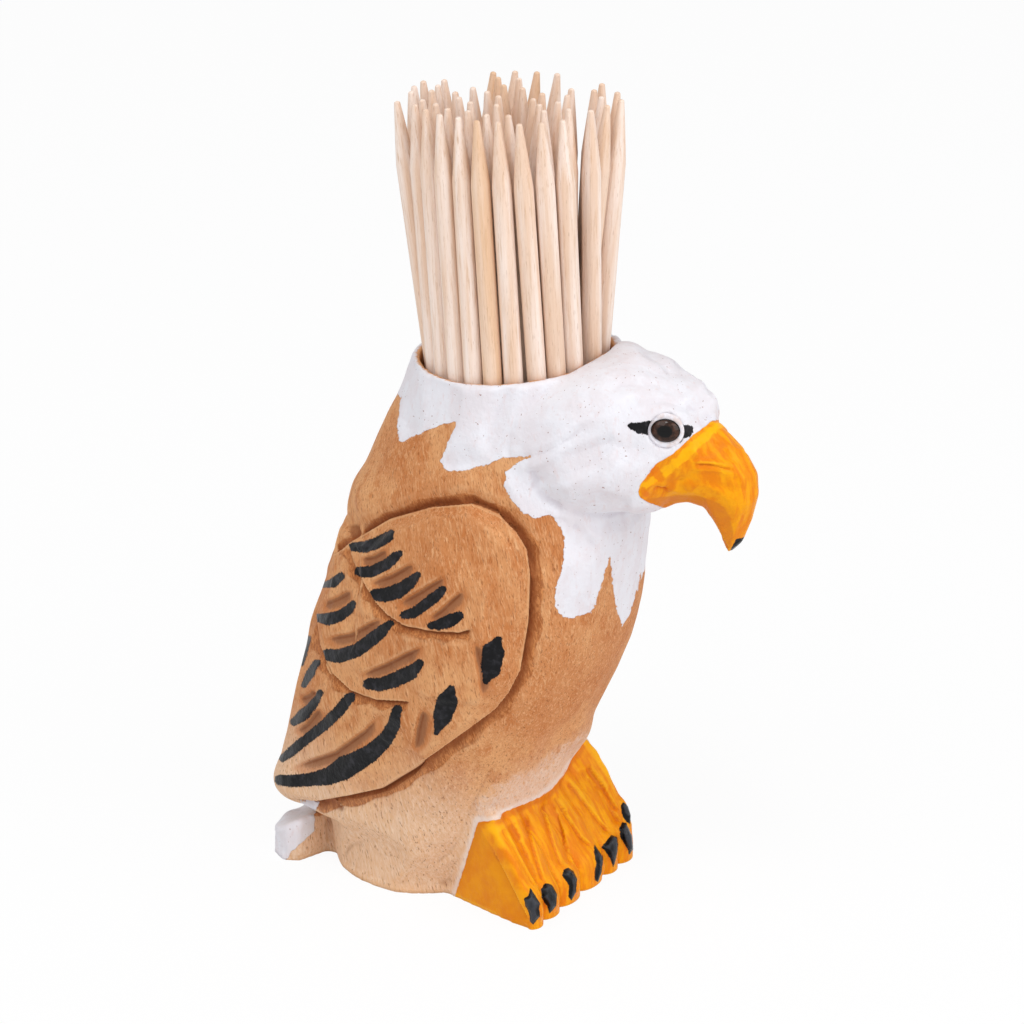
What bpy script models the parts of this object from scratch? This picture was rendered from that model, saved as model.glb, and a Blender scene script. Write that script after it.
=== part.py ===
"""A hand-carved wooden eagle that holds a bundle of round toothpicks in a bore down its neck.

The bird is one block of wood, with its head, hooked beak, wings, tail and feet carved from it.
Two glass bead eyes sit in drilled sockets, and each toothpick stands loose in the bore.
X points forward, along the beak, Y to the bird's left and Z up. The origin is on the ground,
under the bore's axis.
"""

import math

import bmesh
import bpy
import numpy as np
from mathutils import Matrix, Vector

MM = 0.001

# Toothpicks
PICK_DIAMETER = 2.2 * MM
PICK_LENGTH = 65.0 * MM
PICK_TAPER = 7.4 * MM
PICK_TIP_DIAMETER = 0.7 * MM
PICK_COUNT = 52
PICK_GAP = 0.12 * MM
PICK_LIFT = 66.0 * MM
FAN_HALF_WIDTH = 24.0 * MM
FAN_HALF_DEPTH = 13.0 * MM
FAN_OFFSET = 1.4 * MM
FAN_FORWARD_OFFSET = 0.6 * MM
FAN_TURN = math.radians(32)
FREE_POCKET_WIDTH = 4.5 * MM
FREE_POCKET_TURN = math.radians(84)

# Bore
BORE_DIAMETER = 22.0 * MM
BORE_DEPTH = 34.4 * MM
RIM_WALL = 0.8 * MM
RIM_HEIGHT = 66.0 * MM
RIM_RISE = 1.6 * MM
RIM_TILT_POWER = 6

# Body, measured from the bore's axis
BACK_REACH = 28.9 * MM
CHEST_REACH = 15.4 * MM
BODY_HALF_WIDTH = 16.0 * MM

# Head and beak
HEAD_LENGTH = 14.3 * MM
HEAD_DEPTH = 16.0 * MM
HEAD_HALF_WIDTH = 12.1 * MM
CROWN_RISE = 3.0 * MM
BEAK_REACH = 6.2 * MM
BEAK_DROP = 2.2 * MM
BEAK_HEIGHT = 15.2 * MM
BEAK_HALF_WIDTH = 4.9 * MM

# Wings
WING_STEP = 0.45 * MM
BACK_STRIP = 4.0 * MM

# Tail
TAIL_REACH = 30.0 * MM
TAIL_HALF_WIDTH = 12.2 * MM
TAIL_HEIGHT = 10.4 * MM
TAIL_EDGE = 1.6 * MM

# Feet and claws
FOOT_REACH = 9.2 * MM
FOOT_HEIGHT = 13.0 * MM
FEET_HALF_WIDTH = 11.6 * MM
CLAW_HEIGHT = 3.9 * MM
CLAW_WIDTH = 1.8 * MM
CLAW_REACH = 0.8 * MM

# Bead eyes
EYE_DIAMETER = 3.2 * MM
EYE_DOME = 0.75 * MM
EYE_SHANK_DIAMETER = 1.6 * MM
EYE_SHANK_LENGTH = 3.5 * MM
EYE_SEAT_DEPTH = 0.8 * MM
SEAT_GAP = 0.3 * MM

OVERRUN = 5.0 * MM

# How many points and rings the forms are drawn with
RING_POINTS = 40
BODY_RINGS = 31
HEAD_RINGS = 12
HEAD_SIDES = 28
BEAK_SIDES = 20
TOE_STEPS = 9
CLAW_SIDES = 10
CLAW_RINGS = 8
BORE_SIDES = 40
EYE_SIDES = 20
EYE_DOME_TURNS = (30, 60, 80)
PICK_SIDES = 10
SPACING_HEIGHTS = 24
LIFTED_HEIGHTS = 6

# How the bundle is spaced: the share of the bore that picks can fill, how wide their feet start,
# and how strongly each pass pushes, holds the tips to the fan and keeps the picks off the wall
PICK_FILL_SHARE = 0.6
FOOT_WIDTH_SHARE = 0.5
FOOT_DEPTH_SHARE = 0.8
START_LEAN_SHARE = 0.5
SPACING_STEPS = 3600
SPACING_MARGIN_SHARE = 1.012
PUSH_SHARE = 0.09
WALL_PUSH_SHARE = 1.5
TIP_HOLD_SHARE = 0.03
HELD_STEPS_SHARE = 0.667
LEAST_DISTANCE_SHARE = 0.001

BORE_RADIUS = BORE_DIAMETER / 2
RIM_RADIUS = BORE_RADIUS + RIM_WALL
WELL_FLOOR = RIM_HEIGHT - BORE_DEPTH

# Shares of the rim's height, then of the back reach, the chest reach and the half width
SECTION_HEIGHT_SHARES = (
    0, 0.06, 0.09, 0.105, 0.122, 0.17, 0.233, 0.333, 0.467, 0.55, 0.617, 0.733, 0.783, 0.875, 0.95, 1,
)
BACK_SHARES = (
    0.79, 0.81, 0.84, 0.87, 1, 1, 0.975, 0.93, 0.84, 0.76, 0.705, 0.645, 0.61, 0.525, 0.445, 0.41,
)
CHEST_SHARES = (
    0.07, 0.11, 0.17, 0.2, 0.23, 0.28, 0.37, 0.55, 0.80, 0.90, 0.945, 1, 1, 0.9, 0.8, 0.77,
)
WIDTH_SHARES = (
    0.755, 0.775, 0.8, 0.81, 0.83, 0.85, 0.89, 0.95, 1, 1, 0.985, 0.94, 0.905, 0.83, 0.765, 0.74,
)
# Where the trunk is widest, behind the bore's axis, and the powers that round its two halves
MIDDLE_SHARES = (0.35, 0.3, 0.26, 0.25, 0.24, 0.2, 0.14, 0.06, 0, 0, 0, 0, 0, 0, 0, 0)
BACK_POWERS = (2.3, 2.3, 2.3, 2.4, 3.6, 3.4, 3, 2.7, 2.5, 2.5, 2.5, 2.4, 2.3, 2.1, 2, 2)
CHEST_POWERS = (1.55, 1.6, 1.7, 1.7, 1.75, 1.8, 1.9, 2, 2.1, 2.1, 2.1, 2.1, 2.1, 2, 2, 2)

# Head stations: shares of its length, crown rise, depth and half width
HEAD_X_SHARES = (-0.3, 0.08, 0.25, 0.43, 0.67, 0.83, 0.95, 1)
HEAD_TOP_SHARES = (0.3, 0.8, 0.97, 1, 0.64, 0.15, -0.45, -1.1)
HEAD_BOTTOM_SHARES = (1, 1, 0.96, 0.93, 0.87, 0.76, 0.6, 0.45)
HEAD_WIDTH_SHARES = (0.97, 0.94, 0.87, 0.77, 0.57, 0.43, 0.35, 0.24)
# The power that squares the head's cross-section, where 2 is an ellipse
HEAD_POWER = 2.5

# Beak rungs: upper and lower ends as shares of its reach and height, and their half widths
BEAK_UPPER_SHARES = (
    (-0.5, 0.02), (0.2, 0.05), (0.62, 0.2), (0.95, 0.38), (1, 0.54), (0.89, 0.75), (0.72, 0.92),
)
BEAK_LOWER_SHARES = (
    (-1.0, 0.72), (-0.38, 0.71), (0.04, 0.73), (0.2, 0.78), (0.28, 0.86), (0.33, 0.95), (0.48, 1.01),
)
BEAK_WIDTH_SHARES = (1, 0.87, 0.69, 0.56, 0.46, 0.32, 0.16)

# Wing outlines seen from the side: shares of the back reach and of the rim's height
WING_SHARES = (
    (-0.43, 0.675), (-0.26, 0.742), (-0.06, 0.79), (0.10, 0.81), (0.21, 0.79), (0.31, 0.745),
    (0.335, 0.70), (0.33, 0.61), (0.30, 0.515), (0.20, 0.433), (0.04, 0.362), (-0.16, 0.272),
    (-0.30, 0.217), (-0.6, 0.15), (-1.1, 0.12), (-1.1, 0.675),
)
MIDDLE_TIER_SHARES = (
    (-0.42, 0.67), (-0.255, 0.736), (-0.06, 0.784), (0.10, 0.804), (0.205, 0.784), (0.30, 0.74),
    (0.325, 0.70), (0.32, 0.61), (0.29, 0.515), (0.19, 0.437), (0.03, 0.366), (-0.10, 0.315),
    (-0.25, 0.315), (-0.4, 0.34), (-0.52, 0.38), (-0.6, 0.43), (-0.66, 0.5), (-0.7, 0.56),
    (-1.1, 0.58), (-1.1, 0.67),
)
UPPER_TIER_SHARES = (
    (-0.41, 0.665), (-0.25, 0.73), (-0.06, 0.778), (0.10, 0.798), (0.2, 0.778), (0.29, 0.735),
    (0.315, 0.70), (0.31, 0.61), (0.28, 0.52), (0.18, 0.445), (0.11, 0.455), (0.0, 0.445),
    (-0.13, 0.455), (-0.24, 0.48), (-0.33, 0.525), (-0.40, 0.59),
)

# Tail in plan: shares of its reach and half width, and the shares of its height at each place
TAIL_PLAN_SHARES = ((0.5, 0.5), (0.745, 0.6), (0.79, 0.93), (0.85, 1), (0.92, 0.9), (0.98, 0.68), (1, 0.3))
# Toes from right to left: middles and half widths as shares of the feet's half width, then of the height
TOE_SHARES = (
    (-0.87, 0.135, 1), (-0.61, 0.16, 1), (-0.25, 0.23, 1), (0.2, 0.25, 1), (0.52, 0.16, 1.02),
    (0.76, 0.14, 1.06), (0.93, 0.12, 1.13),
)
# Each claw's middle as shares of the feet's reach, of their half width and of its own height
CLAW_SHARES = (
    (0.9, -0.93, 0.67), (0.9, -0.64, 0.6), (0.9, -0.23, 0.56), (0.9, 0.29, 0.52), (0.9, 0.55, 0.78),
    (0.9, 0.82, 0.76), (0.8, 0.96, 1.45),
)
TOE_X_SHARES = (-0.5, 0.3, 0.75, 1)
TOE_Z_SHARES = (1, 0.97, 0.62, 0.3)
TOE_SPLAY_SHARES = (0.76, 0.9, 0.97, 1)

# Eye place: shares of the head's length, depth and half width, and how its face turns and tilts
EYE_X_SHARE = 0.8
EYE_DROP_SHARE = 0.195
EYE_WIDTH_SHARE = 0.39
EYE_TURN = math.radians(26)
EYE_TILT = math.radians(14)


def clear_scene():
    for old in list(bpy.data.objects):
        bpy.data.objects.remove(old, do_unlink=True)


def material(name, colour, roughness, metallic=0.0):
    made = bpy.data.materials.new(name)
    made.use_nodes = True
    shader = made.node_tree.nodes["Principled BSDF"]
    shader.inputs["Base Color"].default_value = (*colour, 1)
    shader.inputs["Roughness"].default_value = roughness
    shader.inputs["Metallic"].default_value = metallic
    made.diffuse_color = (*colour, 1)
    return made


def new_object(name, mesh_data, coat=None, is_cutter=False):
    mesh_data.normal_update()
    mesh = bpy.data.meshes.new(name)
    mesh_data.to_mesh(mesh)
    mesh_data.free()
    made = bpy.data.objects.new(name, mesh)
    bpy.context.scene.collection.objects.link(made)
    if coat:
        mesh.materials.append(coat)
    if is_cutter:
        made.hide_render = True
        made.display_type = "WIRE"
    return made


def combine(target, other, operation):
    step = target.modifiers.new(other.name, "BOOLEAN")
    step.object = other
    step.operation = operation
    step.solver = "EXACT"


def smooth_values(places, values, wanted):
    """Values at the wanted places on a curve through each given value, with no overshoot."""
    places = np.array(places, float)
    values = np.array(values, float)
    steps = np.diff(values) / np.diff(places)
    same_way = steps[:-1] * steps[1:] > 0
    total = np.where(same_way, steps[:-1] + steps[1:], 1)
    inner = np.where(same_way, 2 * steps[:-1] * steps[1:] / total, 0)
    slopes = np.concatenate([steps[:1], inner, steps[-1:]])
    cell = np.clip(np.searchsorted(places, wanted, "right") - 1, 0, len(places) - 2)
    width = places[cell + 1] - places[cell]
    t = (np.array(wanted) - places[cell]) / width
    start = (1 + 2 * t) * (1 - t) ** 2 * values[cell] + t * (1 - t) ** 2 * width * slopes[cell]
    end = t * t * (3 - 2 * t) * values[cell + 1] + t * t * (t - 1) * width * slopes[cell + 1]
    return start + end


def skin(rings):
    """A closed bmesh through rings of points that all have the same count, with flat ends."""
    mesh = bmesh.new()
    rows = [[mesh.verts.new(point) for point in ring] for ring in rings]
    for low, high in zip(rows, rows[1:]):
        for i in range(len(low)):
            j = (i + 1) % len(low)
            mesh.faces.new((low[i], low[j], high[j], high[i]))
    mesh.faces.new(rows[0][::-1])
    mesh.faces.new(rows[-1])
    bmesh.ops.recalc_face_normals(mesh, faces=mesh.faces)
    return mesh


def body_rings(swell):
    """Rings of the trunk from the ground to the sloping rim, each grown by the swell."""
    rows = np.linspace(0, len(SECTION_HEIGHT_SHARES) - 1, BODY_RINGS)
    levels = np.interp(rows, range(len(SECTION_HEIGHT_SHARES)), SECTION_HEIGHT_SHARES)
    tables = (BACK_SHARES, CHEST_SHARES, WIDTH_SHARES, MIDDLE_SHARES, BACK_POWERS, CHEST_POWERS)
    back, chest, width, middle, back_power, chest_power = (
        smooth_values(SECTION_HEIGHT_SHARES, table, levels) for table in tables
    )
    reaches = (BACK_REACH * back, CHEST_REACH * chest, BODY_HALF_WIDTH * width)
    least = np.where(levels * RIM_HEIGHT > WELL_FLOOR - 2 * RIM_WALL, RIM_RADIUS, 0)
    back, chest, width = (np.maximum(reach, least) for reach in reaches)
    middle = -BACK_REACH * middle
    rings = []
    for i, level in enumerate(levels):
        ring = []
        for angle in np.linspace(0, 2 * math.pi, RING_POINTS, endpoint=False):
            forward = math.cos(angle)
            power = chest_power[i] if forward > 0 else back_power[i]
            reach = chest[i] - middle[i] if forward > 0 else back[i] + middle[i]
            x = middle[i] + (reach + swell) * rounded(forward, power)
            y = (width[i] + swell) * rounded(math.sin(angle), power)
            tilt = max(0, x / RIM_RADIUS) * level ** RIM_TILT_POWER
            ring.append((x, y, level * RIM_HEIGHT + tilt * RIM_RISE))
        rings.append(ring)
    return rings


def rounded(value, power):
    """A sine or cosine bent so that a ring drawn with it is a superellipse of that power."""
    return math.copysign(abs(value) ** (2 / power), value)


def cross_ring(upper, lower, half_width, count, power=2):
    """A ring in the plane across the bird that holds both ends, which lie in its middle plane."""
    middle = (upper + lower) / 2
    rise = (upper - lower) / 2
    side = Vector((0, half_width, 0))
    turns = np.linspace(0, 2 * math.pi, count, endpoint=False)
    return [middle + rise * rounded(math.cos(t), power) + side * rounded(math.sin(t), power) for t in turns]


def head():
    rings = []
    wanted = np.linspace(HEAD_X_SHARES[0], HEAD_X_SHARES[-1], HEAD_RINGS)
    tops = smooth_values(HEAD_X_SHARES, HEAD_TOP_SHARES, wanted)
    bottoms = smooth_values(HEAD_X_SHARES, HEAD_BOTTOM_SHARES, wanted)
    widths = smooth_values(HEAD_X_SHARES, HEAD_WIDTH_SHARES, wanted)
    for x, top, bottom, width in zip(wanted, tops, bottoms, widths):
        forward = BORE_RADIUS + x * HEAD_LENGTH
        upper = Vector((forward, 0, RIM_HEIGHT + top * CROWN_RISE))
        lower = Vector((forward, 0, RIM_HEIGHT - bottom * HEAD_DEPTH))
        rings.append(cross_ring(upper, lower, width * HEAD_HALF_WIDTH, HEAD_SIDES, HEAD_POWER))
    return new_object("head_form", skin(rings), is_cutter=True)


def beak_point(x_share, drop_share):
    forward = BORE_RADIUS + HEAD_LENGTH + x_share * BEAK_REACH
    return Vector((forward, 0, RIM_HEIGHT - BEAK_DROP - drop_share * BEAK_HEIGHT))


def beak():
    rings = []
    for top, bottom, width in zip(BEAK_UPPER_SHARES, BEAK_LOWER_SHARES, BEAK_WIDTH_SHARES):
        upper = beak_point(*top)
        lower = beak_point(*bottom)
        rings.append(cross_ring(upper, lower, width * BEAK_HALF_WIDTH, BEAK_SIDES))
    return new_object("beak_form", skin(rings), is_cutter=True)


def wing_outline(shares):
    return [(x * BACK_REACH, z * RIM_HEIGHT) for x, z in shares]


def side_prism(name, outline, inner, outer):
    rings = [[(x, y, z) for x, z in outline] for y in (inner, outer)]
    return new_object(name, skin(rings), is_cutter=True)


def wing_tier(name, shares, swell, side):
    """One tier of feathers: the trunk grown by the swell, kept inside the tier's outline."""
    tier = new_object(name, skin(body_rings(swell)), is_cutter=True)
    reach = (BODY_HALF_WIDTH + OVERRUN) * side
    outline = side_prism(name + "_outline", wing_outline(shares), side * BACK_STRIP, reach)
    combine(tier, outline, "INTERSECT")
    return tier


def tail():
    """A stub of a tail that spreads to the rear, flat on the ground and sloping down on top."""
    plan = [(-x * TAIL_REACH, -y * TAIL_HALF_WIDTH) for x, y in TAIL_PLAN_SHARES]
    plan += [(x, -y) for x, y in reversed(plan)]
    root = -TAIL_REACH * TAIL_PLAN_SHARES[0][0]
    slope = (TAIL_HEIGHT - TAIL_EDGE) / (TAIL_REACH + root)
    low = [(x, y, 0) for x, y in plan]
    high = [(x, y, TAIL_EDGE + slope * (x + TAIL_REACH)) for x, y in plan]
    return new_object("tail_form", skin([low, high]), is_cutter=True)


def toe(name, middle, half_width, height):
    """A toe that slopes from the belly down to the ground in front."""
    rings = []
    for x_share, z_share, splay in zip(TOE_X_SHARES, TOE_Z_SHARES, TOE_SPLAY_SHARES):
        x = x_share * FOOT_REACH
        ring = []
        for turn in np.linspace(0, math.pi, TOE_STEPS):
            y = middle - half_width * math.cos(turn)
            ring.append((x, splay * y, height * z_share - half_width * (1 - math.sin(turn))))
        ring.append((x, splay * (middle + half_width), 0))
        ring.append((x, splay * (middle - half_width), 0))
        rings.append(ring)
    return new_object(name, skin(rings), is_cutter=True)


def claw(name, place):
    mesh = bmesh.new()
    bmesh.ops.create_uvsphere(mesh, u_segments=CLAW_SIDES, v_segments=CLAW_RINGS, radius=1)
    bmesh.ops.scale(mesh, vec=(CLAW_REACH * 2, CLAW_WIDTH / 2, CLAW_HEIGHT / 2), verts=mesh.verts)
    bmesh.ops.translate(mesh, vec=place, verts=mesh.verts)
    return new_object(name, mesh, is_cutter=True)


def toes():
    """The toes, from the middle one outwards, and then the claws."""
    forms = []
    outwards = sorted(TOE_SHARES, key=lambda shares: abs(shares[0]))
    for i, (middle, half_width, height) in enumerate(outwards, 1):
        across = FEET_HALF_WIDTH * middle
        forms.append(toe(f"toe_form_{i}", across, FEET_HALF_WIDTH * half_width, FOOT_HEIGHT * height))
    for i, (forward, across, up) in enumerate(CLAW_SHARES, 1):
        place = (FOOT_REACH * forward, FEET_HALF_WIDTH * across, CLAW_HEIGHT * up)
        forms.append(claw(f"claw_form_{i}", place))
    return forms


def lathe(name, profile, sides, coat=None, is_cutter=False):
    """A turned solid from (radius, height) points that start and end on the axis or close flat."""
    rings = []
    for radius, height in profile:
        turns = np.linspace(0, 2 * math.pi, sides, endpoint=False)
        rings.append([(radius * math.cos(t), radius * math.sin(t), height) for t in turns])
    return new_object(name, skin(rings), coat, is_cutter)


def eye_frame(side):
    """The eye's centre on the head's surface, with Z pointing out of the head."""
    place = Vector((
        BORE_RADIUS + EYE_X_SHARE * HEAD_LENGTH,
        side * EYE_WIDTH_SHARE * HEAD_HALF_WIDTH,
        RIM_HEIGHT - EYE_DROP_SHARE * HEAD_DEPTH,
    ))
    outward = Vector((math.sin(EYE_TURN), side * math.cos(EYE_TURN), math.sin(EYE_TILT)))
    return Matrix.Translation(place) @ outward.to_track_quat("Z", "Y").to_matrix().to_4x4()


def eye_seat(name, side):
    seat_radius = EYE_DIAMETER / 2 + SEAT_GAP
    hole_radius = EYE_SHANK_DIAMETER / 2 + SEAT_GAP
    floor = -EYE_SEAT_DEPTH - SEAT_GAP
    end = floor - EYE_SHANK_LENGTH - SEAT_GAP
    profile = ((hole_radius, end), (hole_radius, floor), (seat_radius, floor), (seat_radius, OVERRUN))
    seat = lathe(name, profile, EYE_SIDES, is_cutter=True)
    seat.matrix_world = eye_frame(side)
    return seat


def eye(name, side, coat):
    radius = EYE_DIAMETER / 2
    shank = EYE_SHANK_DIAMETER / 2
    floor = -EYE_SEAT_DEPTH
    profile = [(shank, floor - EYE_SHANK_LENGTH), (shank, floor), (radius, floor), (radius, 0)]
    for turn in EYE_DOME_TURNS:
        angle = math.radians(turn)
        profile.append((radius * math.cos(angle), EYE_DOME * math.sin(angle)))
    bead = lathe(name, profile, EYE_SIDES, coat)
    bead.matrix_world = eye_frame(side)
    return bead


def carved_body(coat):
    block = new_object("carved_body", skin(body_rings(0)), coat)
    for side, label in ((-1, "right"), (1, "left")):
        tiers = (
            ("lower_tier", WING_SHARES, WING_STEP),
            ("middle_tier", MIDDLE_TIER_SHARES, 2 * WING_STEP),
            ("upper_tier", UPPER_TIER_SHARES, 3 * WING_STEP),
        )
        for name, shares, swell in tiers:
            combine(block, wing_tier(f"{label}_{name}", shares, swell, side), "UNION")
    combine(block, head(), "UNION")
    combine(block, beak(), "UNION")
    combine(block, tail(), "UNION")
    for form in toes():
        combine(block, form, "UNION")
    well = ((BORE_RADIUS, WELL_FLOOR), (BORE_RADIUS, RIM_HEIGHT + BORE_DEPTH))
    bore = lathe("bore_form", well, BORE_SIDES, is_cutter=True)
    combine(block, bore, "DIFFERENCE")
    for side, label in ((-1, "right"), (1, "left")):
        combine(block, eye_seat(f"{label}_eye_seat", side), "DIFFERENCE")
    return block


def pick_count():
    """As many picks as the bundle has, or fewer where the bore holds fewer."""
    room = PICK_FILL_SHARE * ((BORE_DIAMETER - PICK_GAP) / (PICK_DIAMETER + PICK_GAP)) ** 2
    return min(PICK_COUNT, int(room))


def spaced_lines():
    """Plan places of each pick's foot and tip, with no two picks touching, at rest or lifted out.

    The lines start as a sunflower pattern whose tips spread wider than their feet. Each pass then
    finds the pairs that are too close at any height and pushes them apart, and holds the picks
    inside the bore. One extra upright line, in the last place, keeps a pocket of the bore free.
    """
    count = pick_count()
    spots = np.arange(count) + 0.5
    turns = spots * math.pi * (3 - math.sqrt(5))
    pattern = np.sqrt(spots / count)[:, None] * np.stack([np.cos(turns), np.sin(turns)], 1)
    across = np.array([math.cos(FAN_TURN), math.sin(FAN_TURN)])
    away = np.array([-across[1], across[0]])
    wanted = pattern[:, :1] * FAN_HALF_WIDTH * across + pattern[:, 1:] * FAN_HALF_DEPTH * away
    wanted -= FAN_OFFSET * across + FAN_FORWARD_OFFSET * away
    feet = pattern[:, :1] * FOOT_WIDTH_SHARE * across + pattern[:, 1:] * FOOT_DEPTH_SHARE * away
    feet *= BORE_RADIUS
    tips = feet + (wanted - feet) * START_LEAN_SHARE

    pocket_radius = FREE_POCKET_WIDTH / math.sqrt(2)
    pocket_distance = BORE_RADIUS - PICK_GAP - pocket_radius
    pocket = pocket_distance * np.array([[math.cos(FREE_POCKET_TURN), math.sin(FREE_POCKET_TURN)]])
    feet, tips, wanted = (np.vstack([places, pocket]) for places in (feet, tips, wanted))

    in_place = np.linspace(0, PICK_LENGTH, SPACING_HEIGHTS)
    lifted = np.linspace(PICK_LENGTH, PICK_LENGTH + PICK_LIFT, LIFTED_HEIGHTS)[1:]
    heights = np.concatenate([in_place, lifted])
    part_way = (heights / PICK_LENGTH)[:, None, None]
    foot_pull = np.clip(1 - part_way, 0, 1)
    tip_pull = np.clip(part_way, 0, 1)
    slimness = np.clip(heights / PICK_TAPER, 0, 1)
    tip_radius = PICK_TIP_DIAMETER / 2
    radii = np.repeat((tip_radius + (PICK_DIAMETER / 2 - tip_radius) * slimness)[:, None], count + 1, 1)
    radii[:, -1] = pocket_radius
    apart = (radii[:, :, None] + radii[:, None, :] + PICK_GAP) * SPACING_MARGIN_SHARE
    above_head = heights > BORE_DEPTH + CROWN_RISE
    apart[above_head, -1] = 0
    apart[above_head, :, -1] = 0
    for line in range(count + 1):
        apart[:, line, line] = 0
    room = BORE_RADIUS - radii - PICK_GAP
    least = PICK_GAP * LEAST_DISTANCE_SHARE
    for step in range(SPACING_STEPS):
        places = feet * (1 - part_way) + tips * part_way
        between = places[:, :, None] - places[:, None, :]
        distance = np.sqrt((between ** 2).sum(-1)) + least
        push = ((np.maximum(0, apart - distance) / distance)[..., None] * between).sum(2)
        from_axis = np.sqrt((places ** 2).sum(-1)) + least
        outside = np.where(above_head[:, None], 0, np.maximum(0, from_axis - room))
        push -= WALL_PUSH_SHARE * (outside / from_axis)[..., None] * places
        hold = TIP_HOLD_SHARE * max(0, 1 - step / (HELD_STEPS_SHARE * SPACING_STEPS))
        tips[:-1] += (PUSH_SHARE * (push * tip_pull).sum(0) + hold * (wanted - tips))[:-1]
        feet[:-1] += PUSH_SHARE * (push * foot_pull).sum(0)[:-1]
    return feet[:-1], tips[:-1]


def toothpicks(coat):
    tip_radius = PICK_TIP_DIAMETER / 2
    radius = PICK_DIAMETER / 2
    profile = (
        (tip_radius, 0),
        (radius, PICK_TAPER),
        (radius, PICK_LENGTH - PICK_TAPER),
        (tip_radius, PICK_LENGTH),
    )
    first = lathe("toothpick_01", profile, PICK_SIDES, coat)
    for i, (foot, tip) in enumerate(zip(*spaced_lines()), 1):
        pick = first if i == 1 else bpy.data.objects.new(f"toothpick_{i:02d}", first.data)
        if i > 1:
            bpy.context.scene.collection.objects.link(pick)
        rise = Vector((*(tip - foot), PICK_LENGTH))
        stand = Vector((*foot, WELL_FLOOR + SEAT_GAP))
        pick.matrix_world = Matrix.Translation(stand) @ rise.to_track_quat("Z", "Y").to_matrix().to_4x4()


def main():
    clear_scene()
    wood = material("stained_wood", (0.52, 0.27, 0.11), 0.6)
    glass = material("brown_glass", (0.06, 0.02, 0.01), 0.1)
    pale_wood = material("pale_wood", (0.75, 0.55, 0.38), 0.7)
    carved_body(wood)
    for side, label in ((-1, "right"), (1, "left")):
        eye(f"eye_{label}", side, glass)
    toothpicks(pale_wood)


main()
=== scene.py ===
"""A carved and painted wooden eagle with a bundle of round toothpicks standing in its neck.

The body is sculpted from its solid: a fine mesh, smoothed, cut flat in facets like knife work, and
grooved along the wings' feathers, the beak's creases and the toes. Painted areas and grooves are
outlines in the photograph's frame, in pixels of a 1024 by 1024 picture. Each point of the body is
looked up in them through the scene's own camera, so they lie where the picture shows them, and the
far side mirrors the near one. Lengths are in millimetres until they reach Blender, in metres.
"""

import math

import bmesh
import bpy
import numpy as np
from mathutils import Matrix, Vector
from mathutils.bvhtree import BVHTree


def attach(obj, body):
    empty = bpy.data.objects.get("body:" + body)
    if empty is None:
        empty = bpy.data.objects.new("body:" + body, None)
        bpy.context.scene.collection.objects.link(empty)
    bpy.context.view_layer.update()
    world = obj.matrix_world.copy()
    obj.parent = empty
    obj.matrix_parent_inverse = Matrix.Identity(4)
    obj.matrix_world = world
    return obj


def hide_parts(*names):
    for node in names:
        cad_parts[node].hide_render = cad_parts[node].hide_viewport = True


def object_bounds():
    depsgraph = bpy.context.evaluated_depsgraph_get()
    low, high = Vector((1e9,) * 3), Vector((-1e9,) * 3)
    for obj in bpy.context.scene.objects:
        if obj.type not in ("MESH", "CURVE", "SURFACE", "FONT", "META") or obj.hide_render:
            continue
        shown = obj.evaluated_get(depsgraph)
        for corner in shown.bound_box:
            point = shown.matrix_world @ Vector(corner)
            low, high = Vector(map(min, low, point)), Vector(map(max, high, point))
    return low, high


TO_MM = 1000.0
MM = 0.001
PICTURE_SIZE = 1024

# Camera, from the ground under the bore's axis
CAMERA_AZIMUTH = math.radians(32)
CAMERA_REACH = 465.3
CAMERA_HEIGHT = 237.6
CAMERA_PITCH = math.radians(22.31)
CAMERA_YAW = math.radians(0.057)
FOCAL_PIXELS = 4343
SENSOR_WIDTH = 36.0
PIXELS_PER_MM = 8.3

# Sizes of the solids that the sculpting keeps clear of
BORE_RADIUS = 11.0
WELL_FLOOR = 31.6
RIM_HEIGHT = 66.0
LIP_LINE = 0.3
EYE_RADIUS = 1.68
EYE_SEAT_RADIUS = 1.9
EYE_RING = 0.14
EYE_DOME = 0.75
EYE_SEAT_DEPTH = 0.8
EYE_SQUASH = 0.8
EYES = ("eye_right", "eye_left")
SHANK_RADIUS = 0.8
SHANK_TIP_RADIUS = 0.3
BEAD_ROUND = 0.15
BEAD_SIDES = 40
# The painted ring's middle radius and half its width, across and upright, and its height
LID_ACROSS = (1.84, 0.25)
LID_UPRIGHT = (1.63, 0.37)
LID_HEIGHT = 0.15
LID_SIDES = (14, 48)

# The body's mesh: its squares, and how near to a carved line or a painted edge they are halved
VOXEL = 0.34
FINE_REACH = 0.9
SMOOTH_STEPS = 10
GROUND_BAND = 0.2

# The toothpicks' meshes
PICK_RADIUS = 1.1
PICK_TIP_RADIUS = 0.35
PICK_TIP_HEIGHT = 0.7
PICK_TAPER = 7.4
PICK_SWELL = 0.035
PICK_SIDES = 20
PICK_SEED = 7
PICK_END_CLEARANCE = 0.02

# The visible model stays this far inside the solids' box
BOX_CLEARANCE = 0.02

# Where the beak's paint, small squares, tip and stiff part begin, forward of the bore's axis
BEAK_PAINT_X = BORE_RADIUS + 2
BEAK_FINE_X = BORE_RADIUS + 6
BEAK_TIP_X = BORE_RADIUS + 10
BEAK_STIFF_X = BORE_RADIUS + 13
BEAK_FREEDOM = 0.15
# Zones of the feet: further forward than the first value and lower than the second
FEET_PAINT = (-12, 16.5)
FEET_FINE = (4, 9)
FEET_STIFF = (2, 14)
CLAW_PAINT = (2, 9)
FEET_FREEDOM = 0.3
TAIL_PAINT_X = -18
# The depth that stands for far outside a painted area
FAR_OUT = -9.0

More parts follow.
